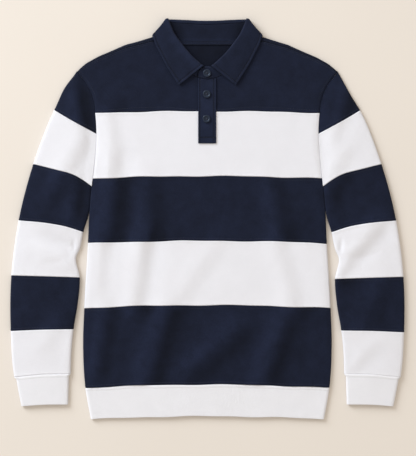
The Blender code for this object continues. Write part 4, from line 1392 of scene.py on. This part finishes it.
def lathe(name, profile, segments, material):
    """A closed turned piece: profile points are (radius, height) from its top centre outward."""
    angle = np.linspace(0, 2 * np.pi, segments, endpoint=False)
    radius = profile[:, 0][:, None]
    points = raised(radius * np.cos(angle), radius * np.sin(angle), profile[:, 1][:, None])
    index = np.arange(points.shape[0] * segments).reshape(points.shape[0], segments)
    index = np.concatenate([index, index[:, :1]], axis=1)
    quads = np.stack([index[:-1, :-1], index[1:, :-1], index[1:, 1:], index[:-1, 1:]], axis=-1)
    faces = quads.reshape(-1, 4).tolist() + [index[0, :-1].tolist(), index[-1, -2::-1].tolist()]
    mesh = bpy.data.meshes.new(name)
    mesh.from_pydata((points.reshape(-1, 3) * MM).tolist(), [], faces)
    mesh.materials.append(material)
    return linked(name, mesh)


HOLE_RADIUS = 0.85
HOLE_OUT = 1.45
WELL = 1.25  # depth of the sunken centre
THREAD_RADIUS = 0.28


def button_profile(thick):
    """A domed rim round a sunken centre, with a chamfered back."""
    r = BUTTON_RADIUS
    return np.array(
        [
            (0.02, thick - WELL),
            (3.4, thick - WELL),
            (4.2, thick - 1.15),
            (4.6, thick - 0.75),
            (4.9, thick - 0.35),
            (5.3, thick - 0.08),
            (5.9, thick),
            (6.5, thick - 0.05),
            (6.95, thick - 0.25),
            (7.25, thick - 0.6),
            (r, thick - 1.05),
            (r - 0.02, thick - 1.5),
            (7.1, thick - 1.9),
            (6.5, 0.15),
            (5.8, 0.0),
            (0.02, 0.0),
        ]
    )


def plain_copy(obj, name):
    """The evaluated object as a plain mesh in an object of its own, in place of the first."""
    graph = bpy.context.evaluated_depsgraph_get()
    mesh = bpy.data.meshes.new_from_object(obj.evaluated_get(graph))
    mesh.name = name
    bpy.data.objects.remove(obj)
    return linked(name, mesh)


def button(number, place, plastic, thread_material):
    low, high = (corner.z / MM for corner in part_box(f"button_{number}"))
    thick = high - low
    settings = bpy.context.scene.shirt_buttons
    disc = lathe(f"turned_{number}", button_profile(thick), settings.segments, plastic)
    drills = []
    for dx, dy in ((1, 1), (-1, 1), (-1, -1), (1, -1)):
        bpy.ops.mesh.primitive_cylinder_add(
            vertices=20,
            radius=HOLE_RADIUS * MM,
            depth=6 * MM,
            location=(dx * HOLE_OUT * MM, dy * HOLE_OUT * MM, thick / 2 * MM),
        )
        drills.append(bpy.context.object)
        cut = disc.modifiers.new("hole", "BOOLEAN")
        cut.operation = "DIFFERENCE"
        cut.solver = "EXACT"
        cut.object = drills[-1]
    bpy.context.view_layer.update()
    made = plain_copy(disc, f"button_{number}_plastic")
    for drill in drills:
        bpy.data.objects.remove(drill)
    made.data.transform(Matrix.Translation(Vector((place.x, place.y, low)) * MM))
    made.data.shade_smooth()
    made.data.set_sharp_from_angle(angle=np.radians(40))
    thread = button_thread(number, place, high, thread_material)
    return made, thread


def button_thread(number, place, high, material):
    """Two crossed bars of doubled thread, from hole to hole."""
    curve = bpy.data.curves.new(f"thread_{number}", "CURVE")
    curve.dimensions = "3D"
    curve.bevel_depth = THREAD_RADIUS * MM
    curve.bevel_resolution = 2
    curve.use_fill_caps = True
    floor = high - WELL
    for direction, lift in ((1, 0.35), (-1, 0.75)):
        for shift in (-0.26, 0.26):
            spline_made = curve.splines.new("POLY")
            share = np.linspace(-1, 1, 13)
            spline_made.points.add(len(share) - 1)
            for point, s in zip(spline_made.points, share):
                x = place.x + HOLE_OUT * s * 1.05 + shift * 0.7
                y = place.y + direction * HOLE_OUT * s * 1.05 - direction * shift * 0.7
                z = floor - 0.7 + (0.7 + lift) * (1 - abs(s) ** 5)
                point.co = (x * MM, y * MM, z * MM, 1)
    holder = linked(f"thread_{number}", curve)
    bpy.context.view_layer.update()
    made = plain_copy(holder, f"button_{number}_thread")
    made.data.materials.clear()
    made.data.materials.append(material)
    made.data.shade_smooth()
    return made


def add(tree, kind, **values):
    """A node of this kind, with these of its settings."""
    made = tree.nodes.new(kind)
    for key, value in values.items():
        setattr(made, key, value)
    return made


def feed(tree, socket, value):
    """A link where the value is a socket, and a plain value where it is a number."""
    if isinstance(value, bpy.types.NodeSocket):
        tree.links.new(value, socket)
    elif value is not None:
        socket.default_value = value


def maths(tree, operation, first, second=None, third=None):
    made = add(tree, "ShaderNodeMath", operation=operation)
    for socket, value in zip(made.inputs, (first, second, third)):
        feed(tree, socket, value)
    return made.outputs[0]


def new_group(name, kind, inputs, outputs):
    """A node group with named sockets: (name, socket type, default) and (name, socket type)."""
    group = bpy.data.node_groups.new(name, kind)
    for label, socket_type, default in inputs:
        made = group.interface.new_socket(label, in_out="INPUT", socket_type=socket_type)
        if default is not None:
            made.default_value = default
    for label, socket_type in outputs:
        group.interface.new_socket(label, in_out="OUTPUT", socket_type=socket_type)
    return group, group.nodes.new("NodeGroupInput"), group.nodes.new("NodeGroupOutput")


def knit_group():
    """Columns of small V-shaped loops, read from the cloth's own flat places."""
    found = bpy.data.node_groups.get("jersey_knit")
    if found:
        return found
    group, start, end = new_group(
        "jersey_knit",
        "ShaderNodeTree",
        [
            ("Place", "NodeSocketVector", None),
            ("Wale", "NodeSocketFloat", 0.0011),
            ("Course", "NodeSocketFloat", 0.0009),
        ],
        [("Loop", "NodeSocketFloat"), ("Furrow", "NodeSocketFloat")],
    )
    parts = add(group, "ShaderNodeSeparateXYZ")
    group.links.new(start.outputs["Place"], parts.inputs[0])
    column = maths(group, "DIVIDE", parts.outputs["X"], start.outputs["Wale"])
    row = maths(group, "DIVIDE", parts.outputs["Y"], start.outputs["Course"])
    within = maths(group, "FRACT", column)
    leg = maths(group, "MULTIPLY", maths(group, "ABSOLUTE", maths(group, "SUBTRACT", within, 0.5)), 2.0)
    slanted = maths(group, "FRACT", maths(group, "MULTIPLY_ADD", leg, 0.6, row))
    across = maths(group, "SINE", maths(group, "MULTIPLY", leg, np.pi))
    lengthwise = maths(group, "SINE", maths(group, "MULTIPLY", slanted, np.pi))
    rise = maths(group, "MULTIPLY_ADD", maths(group, "POWER", lengthwise, 0.7), 0.6, 0.4)
    loop = maths(group, "MULTIPLY", maths(group, "POWER", across, 0.6), rise)
    # The furrows between the loops take painted shade in the cloth's colour, and are rougher
    furrow = maths(group, "SUBTRACT", 1.0, loop)
    group.links.new(loop, end.inputs["Loop"])
    group.links.new(furrow, end.inputs["Furrow"])
    return group


def wear_group():
    """Uneven dye, lint and fuzz of washed cotton."""
    found = bpy.data.node_groups.get("washed_cotton")
    if found:
        return found
    group, start, end = new_group(
        "washed_cotton",
        "ShaderNodeTree",
        [("Place", "NodeSocketVector", None), ("Strength", "NodeSocketFloat", 1.0)],
        [("Dye", "NodeSocketFloat"), ("Fuzz", "NodeSocketFloat")],
    )
    place = start.outputs["Place"]
    broad = noise(group, place, 55.0, detail=3.0)
    fine = noise(group, place, 420.0)
    fuzz = noise(group, place, 2600.0)
    both = maths(group, "MULTIPLY_ADD", fine, 0.8, broad)
    centred = maths(group, "SUBTRACT", both, 0.9)
    dye = maths(group, "MULTIPLY_ADD", centred, start.outputs["Strength"], 1.0)
    group.links.new(dye, end.inputs["Dye"])
    group.links.new(fuzz, end.inputs["Fuzz"])
    return group


def noise(tree, place, scale, detail=2.0, distortion=0.0):
    """The value of a noise texture at the place."""
    made = add(tree, "ShaderNodeTexNoise")
    feed(tree, made.inputs["Vector"], place)
    for key, value in (("Scale", scale), ("Detail", detail), ("Distortion", distortion)):
        feed(tree, made.inputs[key], value)
    return made.outputs["Fac"]


def object_place(tree):
    return add(tree, "ShaderNodeTexCoord").outputs["Object"]


def tint(tree, shader, colour, strength):
    """Gives the shader the colour, made lighter or darker by the strength."""
    scaled = add(tree, "ShaderNodeVectorMath", operation="SCALE")
    feed(tree, scaled.inputs[0], colour)
    feed(tree, scaled.inputs["Scale"], strength)
    feed(tree, shader.inputs["Base Color"], scaled.outputs[0])


def relieve(tree, shader, height, distance):
    """Gives the shader a fine relief, `distance` metres high."""
    bump = add(tree, "ShaderNodeBump")
    feed(tree, bump.inputs["Distance"], distance)
    feed(tree, bump.inputs["Height"], height)
    feed(tree, shader.inputs["Normal"], bump.outputs["Normal"])


def set_inputs(tree, shader, values):
    """Sets the named inputs of the shader."""
    for key, value in values.items():
        feed(tree, shader.inputs[key], value)


def use_group(tree, group, **values):
    made = add(tree, "ShaderNodeGroup", node_tree=group)
    for key, value in values.items():
        feed(tree, made.inputs[key], value)
    return made


def fresh_material(name):
    made = bpy.data.materials.new(name)
    made.use_nodes = True
    return made, made.node_tree, made.node_tree.nodes["Principled BSDF"]


def cotton(name, colour, knit, uneven_dye, furrow_shade, sheen, painted_light_strength, relief=0.00022):
    """Knitted cotton: loops, uneven dye, and painted shade and highlight in furrows and on folds."""
    found = bpy.data.materials.get(name)
    if found:
        return found
    made, tree, shader = fresh_material(name)
    uv = add(tree, "ShaderNodeUVMap", uv_map="cut")
    loops = use_group(tree, knit_group(), Place=uv.outputs["UV"], Wale=knit[0], Course=knit[1])
    wear = use_group(tree, wear_group(), Place=object_place(tree), Strength=uneven_dye)
    # Painted shade in the furrows between the loops and painted highlight on the loops' tops
    shade = maths(tree, "MULTIPLY_ADD", loops.outputs["Furrow"], -furrow_shade, 1.0 + furrow_shade / 2)
    # Painted shade and painted highlight of folds and seams, read from the mesh and scaling the colour
    painted_light = add(tree, "ShaderNodeAttribute", attribute_name="painted_light")
    painted_light_factor = maths(tree, "MULTIPLY_ADD", painted_light.outputs["Fac"], painted_light_strength, 1.0)
    strength = maths(tree, "MULTIPLY", maths(tree, "MULTIPLY", shade, wear.outputs["Dye"]), painted_light_factor)
    tint(tree, shader, colour, strength)
    height = maths(tree, "MULTIPLY_ADD", wear.outputs["Fuzz"], 0.5, loops.outputs["Loop"])
    relieve(tree, shader, height, relief)
    values = {
        "Roughness": maths(tree, "MULTIPLY_ADD", loops.outputs["Furrow"], 0.12, 0.8),
        "Specular IOR Level": 0.12,
        "Sheen Weight": sheen,
        "Sheen Roughness": 0.45,
        "Sheen Tint": (0.8, 0.85, 1.0, 1.0),
    }
    set_inputs(tree, shader, values)
    return made


def cloth_knit():
    settings = bpy.context.scene.shirt_cloth
    return settings.wale, settings.course


def navy_cloth():
    settings = bpy.context.scene.shirt_cloth
    looks = {"uneven_dye": 0.7, "furrow_shade": 0.4, "sheen": 0.04, "painted_light_strength": 0.36}
    return cotton("navy_cotton", settings.navy, cloth_knit(), **looks)


def white_cloth():
    settings = bpy.context.scene.shirt_cloth
    looks = {"uneven_dye": 0.04, "furrow_shade": 0.06, "sheen": 0.05, "painted_light_strength": 0.012}
    return cotton("white_cotton", settings.white, cloth_knit(), **looks)


def white_rib():
    settings = bpy.context.scene.shirt_cloth
    wale, course = cloth_knit()
    looks = {"uneven_dye": 0.04, "furrow_shade": 0.0, "sheen": 0.05, "painted_light_strength": 0.05}
    return cotton("white_rib_cotton", settings.rib, (wale * 0.75, course), **looks)


def collar_cloth():
    settings = bpy.context.scene.shirt_cloth
    wale, course = cloth_knit()
    knit = wale * 0.7, course * 0.7
    looks = {"uneven_dye": 0.7, "furrow_shade": 0.3, "sheen": 0.05, "painted_light_strength": 0.42}
    return cotton("collar_cotton", settings.collar, knit, relief=0.00014, **looks)


def thread_material(name, colour):
    """Twisted sewing thread, a little glossier than the cloth."""
    found = bpy.data.materials.get(name)
    if found:
        return found
    made, tree, shader = fresh_material(name)
    wear = use_group(tree, wear_group(), Place=object_place(tree), Strength=0.3)
    tint(tree, shader, colour, wear.outputs["Dye"])
    relieve(tree, shader, wear.outputs["Fuzz"], 0.0001)
    set_inputs(tree, shader, {"Roughness": 0.55, "Specular IOR Level": 0.35, "Sheen Weight": 0.1})
    return made


def navy_thread():
    return thread_material("navy_thread", (0.020, 0.025, 0.046))


def white_thread():
    return thread_material("white_thread", (0.84, 0.84, 0.86))


def button_plastic():
    """Moulded polyester with a faint swirl."""
    found = bpy.data.materials.get("button_polyester")
    if found:
        return found
    made, tree, shader = fresh_material("button_polyester")
    swirl = noise(tree, object_place(tree), 260.0, distortion=1.5)
    shade = maths(tree, "MULTIPLY_ADD", swirl, 0.5, 0.75)
    tint(tree, shader, bpy.context.scene.shirt_buttons.colour, shade)
    values = {
        "Roughness": maths(tree, "MULTIPLY_ADD", swirl, 0.16, 0.32),
        "Specular IOR Level": 0.34,
        "Specular Tint": (0.72, 0.86, 1.0, 1.0),
        "Coat Weight": 0.12,
    }
    set_inputs(tree, shader, values)
    return made


def stitch_group():
    """A row of stitches along every line of the mesh that it is given."""
    found = bpy.data.node_groups.get("row_of_stitches")
    if found:
        return found
    group, start, end = new_group(
        "row_of_stitches",
        "GeometryNodeTree",
        [
            ("Lines", "NodeSocketGeometry", None),
            ("Pitch", "NodeSocketFloat", 0.0033),
            ("Length", "NodeSocketFloat", 0.0027),
            ("Thread", "NodeSocketFloat", 0.0004),
            ("Material", "NodeSocketMaterial", None),
        ],
        [("Stitches", "NodeSocketGeometry")],
    )
    curves = add(group, "GeometryNodeMeshToCurve")
    spaced = add(group, "GeometryNodeResampleCurve", mode="LENGTH")
    ball = add(group, "GeometryNodeMeshUVSphere")
    ball.inputs["Segments"].default_value = 5
    ball.inputs["Rings"].default_value = 3
    ball.inputs["Radius"].default_value = 0.5
    size = add(group, "ShaderNodeCombineXYZ")
    stretched = add(group, "GeometryNodeTransform")
    tangent = add(group, "GeometryNodeInputTangent")
    turned = add(group, "FunctionNodeAlignRotationToVector", axis="Z")
    placed = add(group, "GeometryNodeInstanceOnPoints")
    real = add(group, "GeometryNodeRealizeInstances")
    smooth = add(group, "GeometryNodeSetShadeSmooth")
    finish = add(group, "GeometryNodeSetMaterial")
    link = group.links.new
    link(start.outputs["Lines"], curves.inputs["Mesh"])
    link(curves.outputs[0], spaced.inputs["Curve"])
    link(start.outputs["Pitch"], spaced.inputs["Length"])
    link(start.outputs["Thread"], size.inputs["X"])
    link(start.outputs["Thread"], size.inputs["Y"])
    link(start.outputs["Length"], size.inputs["Z"])
    link(ball.outputs["Mesh"], stretched.inputs["Geometry"])
    link(size.outputs[0], stretched.inputs["Scale"])
    link(tangent.outputs[0], turned.inputs["Vector"])
    link(spaced.outputs["Curve"], placed.inputs["Points"])
    link(stretched.outputs[0], placed.inputs["Instance"])
    link(turned.outputs[0], placed.inputs["Rotation"])
    link(placed.outputs[0], real.inputs[0])
    link(real.outputs[0], smooth.inputs[0])
    link(smooth.outputs[0], finish.inputs["Geometry"])
    link(start.outputs["Material"], finish.inputs["Material"])
    link(finish.outputs[0], end.inputs["Stitches"])
    return group


def stitches(name, lines, material):
    """Every stitch of one thread, as one plain mesh."""
    settings = bpy.context.scene.shirt_sewing
    points = np.concatenate(lines) * MM
    points[:, 2] = np.maximum(points[:, 2], 0.6 * settings.thread)
    counts = [len(line) for line in lines]
    starts = np.cumsum([0] + counts[:-1])
    edges = [(s + i, s + i + 1) for s, count in zip(starts, counts) for i in range(count - 1)]
    mesh = bpy.data.meshes.new(name + "_lines")
    mesh.from_pydata(points.tolist(), edges, [])
    holder = linked(name + "_lines", mesh)
    group = stitch_group()
    modifier = holder.modifiers.new("stitches", "NODES")
    modifier.node_group = group
    identifiers = {item.name: item.identifier for item in group.interface.items_tree}
    modifier[identifiers["Pitch"]] = settings.pitch
    modifier[identifiers["Length"]] = settings.length
    modifier[identifiers["Thread"]] = settings.thread
    modifier[identifiers["Material"]] = material
    bpy.context.view_layer.update()
    made = plain_copy(holder, name)
    places = np.empty(3 * len(made.data.vertices), np.float32)
    made.data.vertices.foreach_get("co", places)
    places[2::3] = np.maximum(places[2::3], 0)
    made.data.vertices.foreach_set("co", places)
    made.data.update()
    return made


class SHIRT_OT_front(bpy.types.Operator):
    """Makes the front: the two halves of the yoke and the four bands below"""

    bl_idname = "shirt.front"
    bl_label = "Front panels"

    def execute(self, context):
        for word, direction, slit in (("left", -1, -SLIT_LEFT), ("right", 1, SLIT_RIGHT)):
            node = f"front_yoke_{word}"
            made = front_yoke(node + "_cloth", direction, slit, navy_cloth())
            dress(made, "navy_cloth", node)
        body_bands("front")
        return {"FINISHED"}


class SHIRT_OT_back(bpy.types.Operator):
    """Makes the back: the yoke that comes over the shoulders and the four bands below"""

    bl_idname = "shirt.back"
    bl_label = "Back panels"

    def execute(self, context):
        yoke = dress(back_yoke("back_yoke_cloth", navy_cloth()), "navy_cloth", "back_yoke")
        body_bands("back")
        tape = dress(neck_tape("neck_tape_cloth", collar_cloth()), "navy_collar", "neck_tape")
        return {"FINISHED"}


class SHIRT_OT_hem(bpy.types.Operator):
    """Makes the rib tube at the hem"""

    bl_idname = "shirt.hem"
    bl_label = "Hem rib"

    def execute(self, context):
        length = RIB_SEAM.centre - RIB_HEM.centre
        width = 2 * float(side(RIB_SEAM.side))
        made = rib_tube("hem_rib_cloth", hem_place, length, width, HEM_HEIGHTS, HEM_ROLL, 1, 81)
        dress(made, "white_rib", "hem_rib")
        return {"FINISHED"}


class SHIRT_OT_sleeves(bpy.types.Operator):
    """Makes both sleeves, six bands each, and their rib cuffs"""

    bl_idname = "shirt.sleeves"
    bl_label = "Sleeves and cuffs"

    def execute(self, context):
        words = ["navy", "white"] * 3
        ways = (
            ("left", -1, LEFT_SLEEVE_FOLDS, LEFT_SLEEVE_CREASES),
            ("right", 1, RIGHT_SLEEVE_FOLDS, RIGHT_SLEEVE_CREASES),
        )
        for word, direction, folds, creases in ways:
            for number, colour in enumerate(words):
                node = f"sleeve_{word}_band_{number + 1}"
                material = navy_cloth() if colour == "navy" else white_cloth()
                made = sleeve_band(node + "_cloth", number, direction, material, colour, folds, creases)
                dress(made, colour + "_cloth", node)
                self.declare(made, number)
            node = f"cuff_{word}"
            length = SLEEVE_OUTER[CUFF].y - SLEEVE_OUTER[CUFF + 1].y
            width = SLEEVE_OUTER[CUFF].x - SLEEVE_INNER[CUFF][0].x
            heights, seed = SLEEVE_HEIGHTS[CUFF:], 90 + direction
            made = rib_tube(
                node + "_cloth", cuff_place, length, width, heights, SLEEVE_ROLL, direction, seed
            )
            dress(made, "white_rib", node)
        return {"FINISHED"}

    def declare(self, made, number):
        """Does nothing. Each band is cut as one piece that goes all round the arm."""


class SHIRT_OT_collar(bpy.types.Operator):
    """Makes the collar: the neckband and the fall that folds over it"""

    bl_idname = "shirt.collar"
    bl_label = "Collar"

    def execute(self, context):
        fall = dress(collar_fall("collar_fall_cloth", collar_cloth()), "navy_collar", "collar_fall")
        stand = dress(collar_stand("collar_stand_cloth", collar_cloth()), "navy_collar", "collar_stand")
        return {"FINISHED"}


class SHIRT_OT_placket(bpy.types.Operator):
    """Makes the upper and the under strip of the placket"""

    bl_idname = "shirt.placket"
    bl_label = "Placket"

    def execute(self, context):
        material = collar_cloth()
        under = placket(
            "placket_under_cloth",
            SLIT_LEFT + GAP,
            SLIT_RIGHT - GAP,
            SLIT_END + GAP,
            material,
            lift=0,
            wall=CLOTH,
            topstitched=False,
        )
        upper = placket(
            "placket_upper_cloth",
            PLACKET_LEFT,
            PLACKET_RIGHT,
            PLACKET_END,
            material,
            lift=CLOTH + GAP,
            wall=STRIP,
            topstitched=True,
        )
        dress(under, "navy_collar", "placket_under")
        dress(upper, "navy_collar", "placket_upper")
        return {"FINISHED"}


class SHIRT_OT_buttons(bpy.types.Operator):
    """Makes the three buttons and the thread that holds them"""

    bl_idname = "shirt.buttons"
    bl_label = "Buttons"

    def execute(self, context):
        for number, place in enumerate(BUTTONS, 1):
            disc, thread = button(number, place, button_plastic(), navy_thread())
            dress(disc, "button_plastic", f"button_{number}")
            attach(thread, "root")
        return {"FINISHED"}


class SHIRT_OT_stitches(bpy.types.Operator):
    """Sews every kept line, one mesh for each colour of thread"""

    bl_idname = "shirt.stitches"
    bl_label = "Stitches"

    def execute(self, context):
        threads = {"navy": (navy_thread(), "navy_cloth"), "white": (white_thread(), "white_cloth")}
        for word, (material, slot_name) in threads.items():
            made = stitches(f"stitches_{word}", sewn[word], material)
            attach(made, "root")
        return {"FINISHED"}


class SHIRT_OT_stage(bpy.types.Operator):
    """Lays the pale floor, hangs the soft lamp and sets the camera straight above"""

    bl_idname = "shirt.stage"
    bl_label = "Stage"

    def execute(self, context):
        scene = context.scene
        settings = scene.shirt_stage
        bpy.ops.mesh.primitive_plane_add(size=FLOOR_WIDTH, location=(0, 0, -FLOOR_DROP))
        floor = context.object
        floor.name = "floor"
        floor.data.materials.append(floor_paper())
        lamp = bpy.data.lights.new("soft_lamp", "AREA")
        lamp.shape = "DISK"
        lamp.size = LAMP_WIDTH
        lamp.energy = settings.lamp
        lamp.color = LAMP_COLOUR
        holder = linked("soft_lamp", lamp)
        holder.location = LAMP_AT
        holder.rotation_euler = (-Vector(LAMP_AT)).to_track_quat("-Z", "Y").to_euler()
        world = bpy.data.worlds.new("pale_room")
        world.use_nodes = True
        back = world.node_tree.nodes["Background"]
        back.inputs["Color"].default_value = SKY_COLOUR
        back.inputs["Strength"].default_value = settings.sky
        scene.world = world
        camera = bpy.data.cameras.new("camera")
        camera.sensor_fit = "VERTICAL"
        camera.sensor_height = SENSOR
        camera.lens = SENSOR * CAMERA_HIGH / FRAME_HIGH
        seen = linked("camera", camera)
        seen.location = (CAMERA_X * MM, CAMERA_Y * MM, (CAMERA_HIGH + FRONT_Z) * MM)
        scene.camera = seen
        scene.view_settings.view_transform = "Standard"
        return {"FINISHED"}


def floor_paper():
    """Matt warm paper with a faint uneven tone."""
    made, tree, shader = fresh_material("warm_paper")
    shade = maths(tree, "MULTIPLY_ADD", noise(tree, object_place(tree), 3.0), 0.04, 0.98)
    tint(tree, shader, bpy.context.scene.shirt_stage.floor, shade)
    set_inputs(tree, shader, {"Roughness": 0.95, "Specular IOR Level": 0.1})
    return made


SETTINGS = {
    "shirt_cloth": ClothSettings,
    "shirt_rib": RibSettings,
    "shirt_sewing": SewingSettings,
    "shirt_buttons": ButtonSettings,
    "shirt_stage": StageSettings,
}
OPERATORS = [
    SHIRT_OT_stage,
    SHIRT_OT_front,
    SHIRT_OT_back,
    SHIRT_OT_hem,
    SHIRT_OT_sleeves,
    SHIRT_OT_collar,
    SHIRT_OT_placket,
    SHIRT_OT_buttons,
    SHIRT_OT_stitches,
]


class SHIRT_PT_panel(bpy.types.Panel):
    """The shirt's operators, in the order in which they run"""

    bl_idname = "SHIRT_PT_panel"
    bl_label = "Shirt"
    bl_space_type = "VIEW_3D"
    bl_region_type = "UI"
    bl_category = "Shirt"

    def draw(self, context):
        for operator in OPERATORS:
            self.layout.operator(operator.bl_idname)


def register():
    for kind in SETTINGS.values():
        bpy.utils.register_class(kind)
    for name, kind in SETTINGS.items():
        setattr(bpy.types.Scene, name, PointerProperty(type=kind))
    for kind in (*OPERATORS, SHIRT_PT_panel):
        bpy.utils.register_class(kind)


def unregister():
    for kind in (SHIRT_PT_panel, *reversed(OPERATORS)):
        bpy.utils.unregister_class(kind)
    for name, kind in SETTINGS.items():
        delattr(bpy.types.Scene, name)
        bpy.utils.unregister_class(kind)


def main():
    register()
    for operator in OPERATORS:
        group, action = operator.bl_idname.split(".")
        getattr(getattr(bpy.ops, group), action)()


if __name__ == "__main__":
    main()
